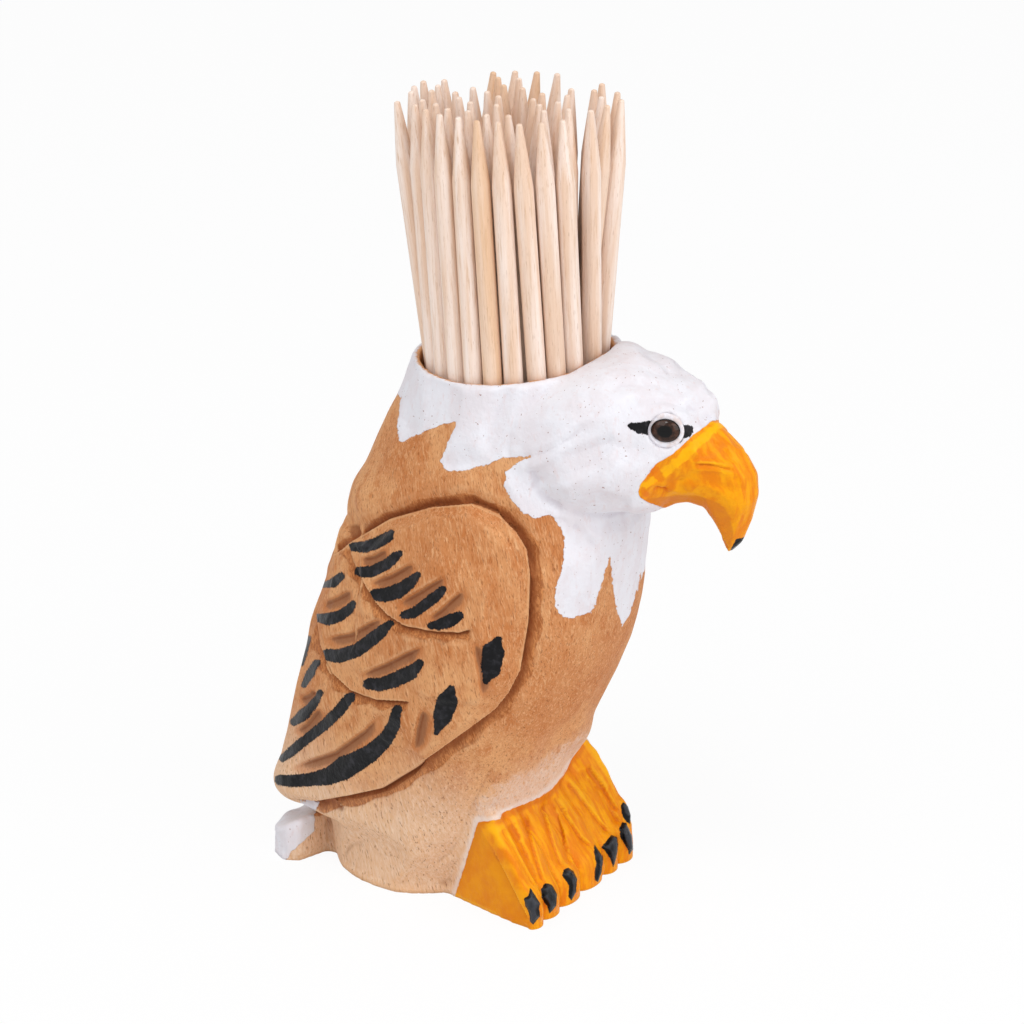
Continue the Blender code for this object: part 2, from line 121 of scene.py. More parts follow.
# Carved lines: depth, width of the wall and of the ramp, and the share at both ends that fades
WING_CUT = (0.9, 0.2, 1.9)
TIER_CUT = (0.65, 0.15, 1.4, 0.05)
FEATHER_CUT = (0.55, 0.6, 2.4, 0.3)
HEAD_CUT = (0.3, 1.0, 1.6, 0.3)
BEAK_CUT = (0.35, 0.25, 0.9, 0.25)
TOE_CUT = (0.42, 0.1, 1.9, 0.1)
# Scooped hollows: depth, and how far inside the outline they have it
HEAD_SCOOP = (0.4, 1.4)
BEAK_SCOOP = (0.22, 0.9)
# Knife facets: spacing, stretch upwards, depth, seed of the draws, and the lift that keeps the size
HEAD_FACETS = (5.0, 1.3, 0.42, 11, 0.2)
WOOD_FACETS = (6.0, 1.5, 0.34, 5, 0.17)
BEAK_FACETS = (3.2, 1.0, 0.24, 3, 0.1)
# Places tried for facets, facets weighed at each point, and points worked on together
FACET_TRIES = 9000
FACETS_NEAR = 12
POINTS_TOGETHER = 4000

# How far the wood's fibres lean back from upright
GRAIN_LEAN = math.radians(14)

# The world's strength for what it lights, and the floor's reach, gap and glow in the camera's view
WORLD_STRENGTH = 0.5
FLOOR_REACH = 3.0
FLOOR_GAP = 0.00002
FLOOR_GLOW = 0.92
# Square lamps: degrees round the object and above it, side in metres and power in watts
LAMPS = {"key": (-12, 52, 0.5, 1.6), "fill": (85, 30, 0.6, 2.4), "glint": (20, 66, 0.12, 0.6)}
LAMP_AIM = 0.04
LAMP_REACH = 0.7

# Outlines in the photograph, in pixels. A groove falls away on its right-hand side.
WING_EDGE = (
    (262, 792), (290, 800), (316, 803), (350, 797), (382, 790), (413, 771), (459, 738), (496, 711),
    (510, 694), (522, 671), (530, 623), (532, 575), (529, 549), (518, 531), (502, 515), (472, 502),
    (433, 505), (388, 518), (349, 541), (335, 552),
)
UPPER_TIER_EDGE = (
    (347, 543), (352, 562), (362, 583), (374, 603), (386, 616), (403, 627), (433, 633), (459, 634),
    (473, 630),
)
MIDDLE_TIER_EDGE = (
    (318, 590), (315, 614), (319, 646), (331, 674), (350, 692), (375, 701), (411, 703),
)
FEATHER_GROOVES = (
    ((355, 560), (372, 559), (389, 549)),
    ((364, 586), (390, 578), (419, 562)),
    ((392, 609), (412, 598), (451, 575)),
    ((423, 624), (440, 613), (468, 588)),
    ((316, 606), (335, 600), (354, 590)),
    ((318, 642), (350, 636), (388, 617)),
    ((352, 680), (385, 667), (430, 644)),
    ((296, 700), (306, 697), (316, 690)),
    ((291, 734), (306, 726), (322, 706)),
    ((281, 772), (334, 755), (366, 732), (386, 708)),
    ((413, 757), (418, 730), (424, 704)),
    ((485, 706), (481, 675), (473, 637)),
)
HEAD_CREASES = (
    ((516, 462), (545, 452), (568, 440), (596, 418)),
    ((598, 398), (622, 384), (660, 384), (690, 400)),
    ((606, 366), (640, 366), (680, 380)),
)
BEAK_CREASES = (
    ((690, 465), (707, 465), (721, 467), (736, 471)),
    ((655, 487), (662, 489), (668, 488)),
)
BEAK_LOBES = (
    ((655, 471, 5), (661, 479, 3.5)),
    ((643, 490, 3), (646, 494, 3)),
    ((655, 489, 1.2), (668, 489, 1.6)),
)
# The beak's underside and tip are let down a little: how far, and where that begins and ends
BEAK_UNDER_DROP = 0.05
BEAK_TIP_DROP = 0.4
BEAK_DROP_FADE = (650, 674)
BEAK_TIP_REACH = 4.5
BEAK_UNDER_LINE = (
    (640, 497), (655, 495), (675, 492), (697, 493), (713, 497), (726, 506), (734, 519), (736, 532),
    (734, 546),
)
# Hollows scooped out of the beak and the head
BEAK_SCOOPS = (
    ((676, 474), (693, 457), (712, 436), (724, 440), (738, 456), (742, 466), (720, 464), (690, 463)),
    ((690, 468), (716, 468), (740, 474), (748, 490), (738, 500), (716, 492), (684, 486), (668, 482)),
    ((648, 484), (656, 470), (668, 463), (672, 472), (664, 482), (654, 489)),
)
HEAD_SCOOPS = (
    ((520, 470), (560, 448), (612, 430), (628, 446), (600, 470), (560, 490), (530, 492)),
    ((640, 400), (668, 392), (694, 398), (704, 412), (690, 418), (664, 408), (644, 412)),
    ((560, 500), (600, 486), (634, 496), (636, 530), (600, 540), (570, 532)),
)
# A painted highlight of bright yellow on the ridge between cheek and beak: places along it and half its
# width there
BEAK_RIDGE = (
    (716, 427, 3.5), (700, 441, 5), (684, 456, 5), (668, 470, 4.5), (654, 480, 3.5), (642, 487, 3),
)

# Creases down the front of the feet, each falling away to the picture's left
TOE_LINES = (
    ((477, 822), (493, 851), (506, 877), (518, 901), (531, 926)),
    ((503, 826), (515, 846), (527, 868), (537, 886)),
    ((512, 820), (526, 850), (541, 879)),
    ((526, 814), (533, 843), (541, 871), (545, 884)),
    ((543, 803), (550, 829), (559, 857), (565, 868)),
    ((553, 797), (563, 832), (573, 866)),
    ((555, 793), (567, 816), (582, 838), (594, 847)),
    ((567, 779), (582, 798), (600, 821), (611, 833)),
    ((580, 768), (600, 789), (617, 817), (623, 824)),
    ((588, 764), (604, 788), (619, 812)),
)
# Places of the feet's sides and the notches between the toes, in millimetres from the middle
TOE_NOTCHES = (-11.8, -8.9, -5.1, -0.3, 4.8, 8.2, 11.8)
TOE_BULGE = 1.3
TOE_NOTCH_DEPTH = 0.5
TOE_SOLE = 0.5
TOE_TOP = (5.2, 1.6)
TOE_BACK_X = 6

# Outward moves at the picture's outline of the body: place, reach in pixels and millimetres
OUTLINE_PUSHES = (
    (284, 783, 34, 0.7), (318, 610, 40, 0.35), (590, 738, 30, 0.7), (602, 762, 26, 0.5),
    (330, 560, 40, 0.5), (352, 492, 40, 0.6), (284, 808, 18, 0.9), (622, 344, 24, 0.45),
    (655, 348, 20, -0.6), (678, 360, 24, -0.5), (708, 390, 24, 0.5), (715, 404, 18, 0.6),
)

# Paint outlines in the photograph, in pixels
WHITE_OUTLINE = (
    (380, 380), (401, 397), (397, 425), (399, 440), (403, 442), (416, 435), (429, 430), (443, 424),
    (457, 421), (451, 436), (444, 452), (440, 461), (448, 472), (466, 470), (483, 466), (503, 457),
    (529, 457), (516, 464), (506, 472), (504, 486), (514, 504), (521, 511), (532, 518), (541, 517),
    (550, 513), (558, 524), (564, 536), (564, 553), (562, 567), (555, 592), (554, 605), (562, 617),
    (570, 619), (580, 615), (591, 613), (597, 600), (602, 583), (607, 566), (610, 556), (611, 568),
    (613, 587), (617, 610), (622, 627), (627, 620), (633, 606), (640, 582), (645, 557), (700, 557),
    (860, 600), (860, 260), (380, 260),
)
BEAK_OUTLINE = (
    (638, 492), (640, 485), (646, 477), (655, 465), (664, 459), (673, 454), (683, 445), (692, 436),
    (707, 425), (711, 421), (722, 420), (800, 400), (800, 620), (700, 620), (690, 520), (667, 509),
    (647, 502), (641, 498),
)
BEAK_TIP_OUTLINE = (
    (736, 539), (745, 537), (770, 545), (750, 575), (728, 562), (730, 551),
)
EYE_PATCH_OUTLINE = (
    (682, 425), (692, 427), (692, 432), (689, 436), (683, 437), (681, 441), (678, 442), (677, 440),
    (682, 434),
)
FOOT_SIDE_OUTLINE = ((477, 822), (493, 851), (506, 877), (518, 901), (531, 930), (440, 930), (440, 860))
FEET_OUTLINE = (
    (478, 822), (489, 821), (500, 819), (502, 813), (514, 808), (527, 803), (540, 797), (552, 789),
    (560, 778), (567, 764), (579, 745), (586, 739), (600, 700), (720, 760), (720, 960), (440, 960),
    (456, 893), (467, 858),
)
TAIL_OUTLINE = (
    (282, 800), (298, 803), (315, 805), (314, 831), (304, 841), (293, 850), (280, 870), (220, 870),
    (220, 790),
)
WASH_OUTLINE = (
    (470, 826), (476, 806), (500, 786), (540, 766), (572, 740), (586, 734), (580, 746), (567, 765),
    (552, 790), (527, 804), (500, 819),
)
# Brush strokes: places along each and half its thickness there
BLACK_STROKES = (
    ((353, 547, 3.5), (365, 547, 4.8), (377, 543, 5), (388, 537, 4.5), (391, 533, 2.5)),
    ((357, 572, 4), (370, 572, 4.8), (385, 565, 5), (395, 557, 4.2), (400, 553, 2)),
    ((375, 595, 5), (385, 595, 6.2), (398, 591, 6.8), (409, 583, 5.5), (417, 575, 2.8)),
    ((404, 615, 3.2), (413, 613, 4.5), (426, 604, 4.8), (437, 595, 4.8), (442, 590, 3)),
    ((430, 626, 2.5), (439, 625, 4.5), (450, 621, 5.8), (459, 616, 3.6)),
    ((324, 585, 1.8), (333, 583, 4), (341, 576, 3)),
    ((319, 618, 3.5), (328, 619, 5.5), (339, 616, 5), (348, 610, 4.5), (352, 604, 2.8)),
    ((327, 655, 5), (339, 656, 6), (357, 650, 6.2), (372, 639, 6), (382, 631, 5), (388, 625, 3)),
    ((368, 684, 4.5), (380, 685, 5.5), (395, 680, 6.4), (410, 673, 6.6), (419, 664, 3.5)),
    ((308, 638, 1.5), (305, 652, 2), (302, 664, 1)),
    ((316, 663, 2.5), (310, 674, 3.6), (304, 685, 2)),
    ((320, 693, 2.5), (312, 704, 4.5), (302, 716, 4.8), (294, 722, 3)),
    ((348, 699, 4.5), (339, 711, 4.8), (324, 725, 4.8), (306, 739, 4.5), (291, 752, 4), (283, 758, 3)),
    (
        (396, 711, 4.2), (394, 725, 5.6), (385, 740, 6.6), (370, 754, 8), (354, 763, 9.5), (342, 769, 11),
        (329, 776, 8), (308, 780, 5.4), (291, 781, 5.2), (280, 780, 4.4),
    ),
    ((498, 640, 3), (493, 653, 10.5), (490, 669, 9.8), (485, 683, 2)),
    ((451, 689, 3), (447, 702, 9.8), (442, 717, 8.5), (436, 733, 1.5)),
    ((631, 426, 2.3), (640, 428, 4.6), (650, 428, 6.2)),
)

# The brush strokes' edges lie this far outside the measured ones
STROKE_SPREAD = 0.12
# Smoothing steps that the surface is compared with to find its hollows and ridges, which the paint darkens
# as painted shade and lightens as painted highlight
HOLLOW_STEPS = 8

# Claws in the photograph, and how far they stand out in millimetres
CLAW_OUTLINES = (
    (
        (530, 887), (534, 894), (540, 903), (539, 909), (540, 916), (533, 925), (530, 921), (529, 912),
        (525, 905), (524, 898), (528, 896),
    ),
    ((545, 883), (552, 885), (557, 894), (556, 906), (549, 914), (547, 906), (541, 897), (541, 889)),
    (
        (568, 868), (573, 871), (577, 879), (576, 892), (571, 901), (568, 896), (569, 886), (562, 876),
        (563, 870),
    ),
    (
        (594, 844), (598, 850), (603, 857), (602, 871), (598, 882), (595, 881), (594, 874), (596, 863),
        (594, 854),
    ),
    ((611, 835), (617, 837), (618, 845), (616, 859), (613, 868), (611, 860), (606, 852), (601, 847)),
    ((622, 822), (626, 823), (632, 836), (633, 849), (629, 855), (627, 848), (620, 837), (619, 829)),
    ((623, 802), (628, 806), (631, 816), (630, 824), (625, 821), (621, 813), (621, 805)),
)
CLAW_RISE = 0.5


def linear(red, green, blue):
    """A colour written as 0 to 255 on screen, as Blender's linear values."""
    shares = np.array((red, green, blue)) / 255
    low = shares / 12.92
    high = ((shares + 0.055) / 1.055) ** 2.4
    return (*np.where(shares <= 0.04045, low, high), 1)


# Camera and the look-up of places in its picture

def camera_axes():
    """The camera's place and its right, up and forward directions."""
    place = np.array([
        math.sin(CAMERA_AZIMUTH) * CAMERA_REACH, -math.cos(CAMERA_AZIMUTH) * CAMERA_REACH, CAMERA_HEIGHT,
    ])
    turn = CAMERA_AZIMUTH + CAMERA_YAW
    level = np.array([-math.sin(turn), math.cos(turn), 0])
    right = np.array([math.cos(turn), math.sin(turn), 0])
    above = np.array([0, 0, 1])
    forward = math.cos(CAMERA_PITCH) * level - math.sin(CAMERA_PITCH) * above
    up = math.cos(CAMERA_PITCH) * above + math.sin(CAMERA_PITCH) * level
    return place, right, up, forward


def picture_places(points):
    """Where points show in the photograph, in pixels."""
    place, right, up, forward = camera_axes()
    away = points - place
    depth = away @ forward
    across = PICTURE_SIZE / 2 + FOCAL_PIXELS * (away @ right) / depth
    down = PICTURE_SIZE / 2 - FOCAL_PIXELS * (away @ up) / depth
    return np.stack([across, down], 1)


def make_camera():
    place, right, up, forward = camera_axes()
    data = bpy.data.cameras.new("camera")
    data.sensor_width = SENSOR_WIDTH
    data.lens = FOCAL_PIXELS / PICTURE_SIZE * SENSOR_WIDTH
    data.clip_start = MM
    data.clip_end = 10
    made = bpy.data.objects.new("camera", data)
    bpy.context.scene.collection.objects.link(made)
    turn = Matrix((right, up, -forward)).transposed().to_4x4()
    made.matrix_world = Matrix.Translation(Vector(place) * MM) @ turn
    bpy.context.scene.camera = made


# Distances in the picture

def near_line(places, line):
    """Each place's distance to an open line, how far along the line it is from 0 to 1, and its side."""
    line = np.array(line, float)[:, :2]
    lengths = np.linalg.norm(np.diff(line, axis=0), axis=1)
    starts = np.concatenate([[0], np.cumsum(lengths)])
    best = np.full(len(places), np.inf)
    along = np.zeros(len(places))
    side = np.ones(len(places))
    for i, (start, end) in enumerate(zip(line, line[1:])):
        step = end - start
        away = places - start
        share = np.clip(away @ step / (step @ step), 0, 1)
        off = away - share[:, None] * step
        distance = np.sqrt((off ** 2).sum(1))
        closer = distance < best
        best[closer] = distance[closer]
        along[closer] = ((starts[i] + share * lengths[i]) / starts[-1])[closer]
        side[closer] = np.sign(step[0] * away[:, 1] - step[1] * away[:, 0])[closer]
    return best, along, side


def depth_inside(places, outline):
    """How far inside a closed outline each place is, below 0 outside it."""
    outline = np.array(outline, float)
    best, _, _ = near_line(places, np.vstack([outline, outline[:1]]))
    inside = np.zeros(len(places), bool)
    for (x0, y0), (x1, y1) in zip(outline, np.roll(outline, -1, axis=0)):
        crosses = (y0 > places[:, 1]) != (y1 > places[:, 1])
        level = (places[:, 1] - y0) / (y1 - y0 if y1 != y0 else 1)
        inside ^= crosses & (places[:, 0] < x0 + level * (x1 - x0))
    return np.where(inside, best, -best)


def scooped(places, outline, depth, soft):
    """A hollow's depth at each place: none at its outline, all of it that far inside."""
    return depth * smooth_step(0, soft, depth_inside(places, outline) / PIXELS_PER_MM)


def depth_in_stroke(places, stroke):
    """How far inside a brush stroke each place is, below 0 outside it."""
    best = np.full(len(places), -np.inf)
    for start, end in zip(np.array(stroke, float), np.array(stroke, float)[1:]):
        step = end[:2] - start[:2]
        away = places - start[:2]
        share = np.clip(away @ step / (step @ step), 0, 1)
        distance = np.sqrt(((away - share[:, None] * step) ** 2).sum(1))
        best = np.maximum(best, start[2] + share * (end[2] - start[2]) - distance)
    return best


# Reading and changing meshes

def read_points(mesh):
    points = np.zeros(len(mesh.vertices) * 3)
    mesh.vertices.foreach_get("co", points)
    return points.reshape(-1, 3) * TO_MM


def write_points(mesh, points):
    mesh.vertices.foreach_set("co", (points * MM).ravel())
    mesh.update()


def read_normals(mesh):
    normals = np.zeros(len(mesh.vertices) * 3)
    mesh.vertex_normals.foreach_get("vector", normals)
    return normals.reshape(-1, 3)


def write_values(mesh, name, values):
    """Numbers at the mesh's points, for its material to read by their name."""
    mesh.attributes.new(name, "FLOAT", "POINT").data.foreach_set("value", values.astype(np.float32))


def edge_pairs(mesh):
    pairs = np.zeros(len(mesh.edges) * 2, int)
    mesh.edges.foreach_get("vertices", pairs)
    return pairs.reshape(-1, 2)


def smoothed(values, pairs, steps, freedom=1.0):
    """Rows of values drawn half way to their neighbours' mean, or less where their freedom is below 1."""
    count = np.bincount(pairs.ravel(), minlength=len(values))[:, None]
    for _ in range(steps):
        total = np.stack([
            np.bincount(pairs[:, 0], column[pairs[:, 1]], len(values))
            + np.bincount(pairs[:, 1], column[pairs[:, 0]], len(values))
            for column in values.T
        ], 1)
        values = values + freedom * 0.5 * (total / count - values)
    return values


def shrinkage(points, normals, node):
    """How far each point lies inside the node's surface, in millimetres, and below 0 outside it."""
    corners = read_points(node.data)
    tree = BVHTree.FromPolygons(corners.tolist(), [list(face.vertices) for face in node.data.polygons])
    nearest = np.array([tree.find_nearest(point)[0] for point in points.tolist()])
    return ((nearest - points) * normals).sum(1)


def remeshed(node, voxel):
    """A copy of the node's mesh made of even small squares."""
    data = bmesh.new()
    data.from_mesh(node.data)
    bmesh.ops.remove_doubles(data, verts=data.verts, dist=MM * 0.001)
    welded = bpy.data.meshes.new("welded")
    data.to_mesh(welded)
    data.free()
    source = bpy.data.objects.new("source", welded)
    bpy.context.scene.collection.objects.link(source)
    step = source.modifiers.new("squares", "REMESH")
    step.mode = "VOXEL"
    step.voxel_size = voxel * MM
    graph = bpy.context.evaluated_depsgraph_get()
    made = bpy.data.meshes.new_from_object(source.evaluated_get(graph))
    bpy.data.objects.remove(source)
    data = bmesh.new()
    data.from_mesh(made)
    bmesh.ops.delete(data, geom=crumbs(data), context="VERTS")
    data.to_mesh(made)
    data.free()
    return made


def crumbs(data):
    """The vertices that aren't on the mesh's largest connected part."""
    parts = []
    left = set(data.verts)
    while left:
        front = [left.pop()]
        part = list(front)
        while front:
            reached = {edge.other_vert(vert) for vert in front for edge in vert.link_edges} & left
            left -= reached
            front = list(reached)
            part += front
        parts.append(part)
    parts.sort(key=len)
    return [vert for part in parts[:-1] for vert in part]


def refined(mesh, wanted):
    """Halves the edges of the mesh that have both ends in the wanted places."""
    data = bmesh.new()
    data.from_mesh(mesh)
    data.verts.ensure_lookup_table()
    edges = [edge for edge in data.edges if wanted[edge.verts[0].index] and wanted[edge.verts[1].index]]
    bmesh.ops.subdivide_edges(data, edges=edges, cuts=1, use_grid_fill=True)
    many = [face for face in data.faces if len(face.verts) > 4]
    bmesh.ops.triangulate(data, faces=many)
    data.to_mesh(mesh)
    data.free()


# Shares and places on the body

def smooth_step(low, high, values):
    share = np.clip((values - low) / (high - low), 0, 1)
    return share * share * (3 - 2 * share)


def unit(vectors):
    return vectors / np.linalg.norm(vectors, axis=1)[:, None]


def look_up(points, normals):
    """The near side's places in the picture, the places' own, and how far each side faces the camera."""
    flip = np.where(points[:, 1:2] > 0, (1, -1, 1), (1, 1, 1))
    eye = camera_axes()[0]
    facing = (normals * unit(eye - points)).sum(1)
    near_facing = (normals * flip * unit(eye - points * flip)).sum(1)
    return picture_places(points * flip), picture_places(points), facing, near_facing


def from_axis(points):
    """Each point's distance from the bore's axis."""
    return np.hypot(points[:, 0], points[:, 1])


def in_bore(points):
    return (from_axis(points) < BORE_RADIUS + VOXEL) & (points[:, 2] > WELL_FLOOR - VOXEL)


def in_front(points, zone):
    """Whether each point lies further forward than a zone's first value and lower than its second."""
    return (points[:, 0] > zone[0]) & (points[:, 2] < zone[1])


def eye_gaps(points):
    """Each point's distance to the middle of the nearer bead."""
    beads = [read_points(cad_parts[name].data).mean(0) for name in EYES]
    return np.min([np.sqrt(((points - middle) ** 2).sum(1)) for middle in beads], 0)


def detail(points, normals):
    """Where the mesh needs small squares: by the carved lines, painted edges, eyes, beak and claws."""
    x, _, z = points.T
    near, _, _, near_facing = look_up(points, normals)
    lines = (WING_EDGE, UPPER_TIER_EDGE, MIDDLE_TIER_EDGE, *FEATHER_GROOVES)
    gaps = [near_line(near, line)[0] for line in lines]
    outlines = (WHITE_OUTLINE, EYE_PATCH_OUTLINE, TAIL_OUTLINE)
    gaps += [np.abs(depth_inside(near, outline)) for outline in outlines]
    gaps += [np.abs(depth_in_stroke(near, stroke)) for stroke in BLACK_STROKES]
    wanted = (np.min(gaps, 0) < FINE_REACH * PIXELS_PER_MM) & (near_facing > 0)
    wanted |= (x > BEAK_FINE_X) & (depth_inside(near, BEAK_OUTLINE) > -4)
    wanted |= in_front(points, FEET_FINE)
    wanted |= eye_gaps(points) < EYE_SEAT_RADIUS + 2
    return wanted & ((from_axis(points) > BORE_RADIUS + 0.5) | (z < WELL_FLOOR - 1))


def painted_areas(points, normals):
    """How far inside each painted area every point is, in millimetres, and below 0 outside it."""
    x, y, z = points.T
    near, actual, facing, near_facing = look_up(points, normals)
    seen = smooth_step(-0.05, 0.35, facing) * smooth_step(13.5, 11.5, y)

    def inside(outline):
        depth = depth_inside(near, outline) * (1 - seen) + depth_inside(actual, outline) * seen
        return depth / PIXELS_PER_MM

    def deepest(depths):
        return np.max(depths, 0) / PIXELS_PER_MM

    white = inside(WHITE_OUTLINE)
    off_lip = from_axis(points) - BORE_RADIUS - LIP_LINE
    black = [depth_in_stroke(near, stroke) for stroke in BLACK_STROKES]
    black = deepest([*black, depth_inside(near, EYE_PATCH_OUTLINE)]) + STROKE_SPREAD
    black = np.minimum(black, eye_gaps(points) - EYE_SEAT_RADIUS - EYE_RING)
    # The far side's brush strokes stop where the photograph shows that side bare
    seen_beyond = (y > 0) & (facing > -0.25)
    feet = np.where(in_front(points, FEET_PAINT), inside(FEET_OUTLINE), FAR_OUT)
    claws = deepest([depth_inside(actual, outline) for outline in CLAW_OUTLINES])
    claws = np.where(in_front(points, CLAW_PAINT) & (feet > -1), claws, FAR_OUT)
    beak_tip = deepest([depth_inside(actual, BEAK_TIP_OUTLINE)])
    beak_tip = np.where(x > BEAK_TIP_X, beak_tip, FAR_OUT)
    beak = np.where(x > BEAK_PAINT_X, inside(BEAK_OUTLINE), FAR_OUT)
    on_beak = beak > -0.5
    return {
        "white": np.where(z > RIM_HEIGHT - 2, np.minimum(white, off_lip), white),
        "beak": beak,
        "feet": feet,
        "tail": np.where(x < TAIL_PAINT_X, inside(TAIL_OUTLINE), FAR_OUT),
        "wash": inside(WASH_OUTLINE),
        "black": np.where(seen_beyond, FAR_OUT, np.minimum(black, (near_facing - 0.02) * 2.5)),
        "side": np.where(feet > -1, deepest([depth_inside(near, FOOT_SIDE_OUTLINE)]), FAR_OUT),
        "claws": np.maximum(claws, beak_tip),
        "ridge": np.where(on_beak, deepest([depth_in_stroke(near, BEAK_RIDGE)]), FAR_OUT),
        "lobes": np.where(on_beak, deepest([depth_in_stroke(near, lobe) for lobe in BEAK_LOBES]), FAR_OUT),
    }


# Carving

def scattered(points, spacing, stretch, rng):
    """Indices of points at least the spacing apart, where heights count for less by the stretch."""
    squashed = points / (1, 1, stretch)
    chosen = []
    for i in rng.permutation(len(points))[:FACET_TRIES]:
        if not chosen or ((squashed[chosen] - squashed[i]) ** 2).sum(1).min() > spacing ** 2:
            chosen.append(i)
    return np.array(chosen)


def facet_cuts(points, normals, spacing, stretch, deepest, seed):
    """How far each point moves along its normal, below 0, to lie on the flat knife cuts near it."""
    rng = np.random.default_rng(seed)
    seeds = scattered(points, spacing, stretch, rng)
    depths = rng.uniform(0.2, 1, len(seeds)) * deepest
    squashed = points / (1, 1, stretch)
    moves = np.zeros(len(points))
    for low in range(0, len(points), POINTS_TOGETHER):
        part = slice(low, low + POINTS_TOGETHER)
        gaps = ((squashed[part, None] - squashed[None, seeds]) ** 2).sum(2)
        near = np.argpartition(gaps, FACETS_NEAR, axis=1)[:, :FACETS_NEAR]
        far = np.sqrt(np.take_along_axis(gaps, near, 1)) / spacing
        plane_normals = normals[seeds[near]]
        rises = ((points[seeds[near]] - points[part, None]) * plane_normals).sum(2)
        facing = (normals[part, None] * plane_normals).sum(2)
        lift = deepest * (5 * np.maximum(0, far - 0.75) ** 2 + 8 * np.maximum(0, 0.85 - facing))
        heights = rises / np.maximum(facing, 0.5) - depths[near] + lift
        lowest = -1.5 * deepest * smooth_step(1.4, 0.9, far) * smooth_step(0.3, 0.8, facing)
        moves[part] = np.maximum(heights, lowest).min(1)
    return np.minimum(moves, 0)


def groove(places, line, depth, sharp, slope, taper=0.0):
    """The cut's depth at each place: a wall on the left-hand side of the line, a ramp on the right."""
    distance, along, side = near_line(places, line)
    distance = distance / PIXELS_PER_MM
    wall = np.clip(1 - distance / sharp, 0, 1)
    ramp = np.clip(1 - distance / slope, 0, 1) ** 1.4
    shape = np.where(side > 0, ramp, wall)
    if taper:
        shape = shape * smooth_step(0, taper, along) * smooth_step(0, taper, 1 - along)
    return depth * shape


def rough_band(near, line, width, wing_side):
    """1 along the outer side of a carved line, as far as the width at each place, and 0 beyond it."""
    distance, along, side = near_line(near, line)
    beyond = distance / PIXELS_PER_MM - width(along)
    return np.where(side > 0, smooth_step(0.25, -0.25, beyond), 0) * wing_side


def wing_band_width(along):
    return 1.35 + 0.35 * np.sin(along * 61) * np.sin(along * 37 + 1) - 0.5 * smooth_step(0.62, 0.75, along)


def tier_band_width(along):
    return 0.95 + 0.25 * np.sin(along * 47)


def carved_cuts(points, normals, areas):
    """How deep the carved lines go at every point, and the share of the rough band along the wing."""
    near, actual, facing, near_facing = look_up(points, normals)
    on_head = smooth_step(-1, 1, areas["white"])
    on_beak = smooth_step(-0.3, 0.3, areas["beak"])
    on_toes = smooth_step(-0.2, 0.4, areas["feet"]) * smooth_step(0, 0.2, facing)
    on_toes = on_toes * smooth_step(2, 5, points[:, 0])
    wing_side = smooth_step(0.0, 0.25, near_facing) * smooth_step(3.0, 4.2, np.abs(points[:, 1]))
    wing_side = np.where(points[:, 0] < BORE_RADIUS, wing_side, 0)
    gouges = np.max([groove(near, line, *FEATHER_CUT) for line in FEATHER_GROOVES], 0) * wing_side
    cuts = groove(near, WING_EDGE, *WING_CUT)
    band = rough_band(near, WING_EDGE, wing_band_width, wing_side)
    for line in (UPPER_TIER_EDGE, MIDDLE_TIER_EDGE):
        cuts = np.maximum(cuts, groove(near, line, *TIER_CUT))
        _, along, _ = near_line(near, line)
        ends = smooth_step(0, 0.06, along) * smooth_step(0, 0.06, 1 - along)
        band = np.maximum(band, rough_band(near, line, tier_band_width, wing_side) * ends)
    cuts = np.maximum(cuts * wing_side, gouges)
    for places, lines, kind, share in (
        (near, HEAD_CREASES, HEAD_CUT, on_head), (near, BEAK_CREASES, BEAK_CUT, on_beak),
        (actual, TOE_LINES, TOE_CUT, on_toes),
    ):
        for line in lines:
            cuts = np.maximum(cuts, groove(places, line, *kind) * share)
    for outlines, kind, share in (
        (HEAD_SCOOPS, HEAD_SCOOP, on_head * (1 - on_beak)), (BEAK_SCOOPS, BEAK_SCOOP, on_beak),
    ):
        for outline in outlines:
            cuts = np.maximum(cuts, scooped(near, outline, *kind) * share)
    return cuts, band, gouges


def underside(points, normals, areas):
    """The share of the beak's underside, darkened as painted shade, and of how far it is let down, at
    every point.
    """
    near = look_up(points, normals)[0]
    distance, _, side = near_line(near, BEAK_UNDER_LINE)
    under = np.where(side > 0, smooth_step(0, 0.7, distance / PIXELS_PER_MM), 0)
    under = under * smooth_step(-0.3, 0.3, areas["beak"])
    return under, under * smooth_step(*BEAK_DROP_FADE, near[:, 0])


def toe_moves(points, normals):
    """How far forward each point of the feet's front edge moves, for round toes with notches between."""
    notches = np.array(TOE_NOTCHES)
    toe = np.clip(np.searchsorted(notches, points[:, 1]) - 1, 0, len(notches) - 2)
    place = (points[:, 1] - notches[toe]) / (notches[toe + 1] - notches[toe])
    bulge = TOE_BULGE * np.sqrt(np.clip(1 - (2 * place - 1) ** 2, 0, 1)) - TOE_NOTCH_DEPTH
    low = points[:, 2] < TOE_SOLE
    bins = np.arange(-12, 12.1, 1)
    fronts = [points[low & (np.abs(points[:, 1] - middle) < 0.6), 0].max(initial=0) for middle in bins]
    behind = np.interp(points[:, 1], bins, fronts) - points[:, 0]
    share = np.where(low, smooth_step(2.6, 0.8, behind), smooth_step(0.15, 0.5, normals[:, 0]))
    return bulge * share * smooth_step(*TOE_TOP, points[:, 2]) * (points[:, 0] > TOE_BACK_X)


def outline_moves(actual, facing):
    """Outward moves near the picture's outline."""
    moves = np.zeros(len(actual))
    for across, down, reach, amount in OUTLINE_PUSHES:
        gap = np.hypot(*(actual - (across, down)).T)
        moves += amount * smooth_step(reach, 0.2 * reach, gap)
    return moves * smooth_step(0.75, 0.4, np.abs(facing))


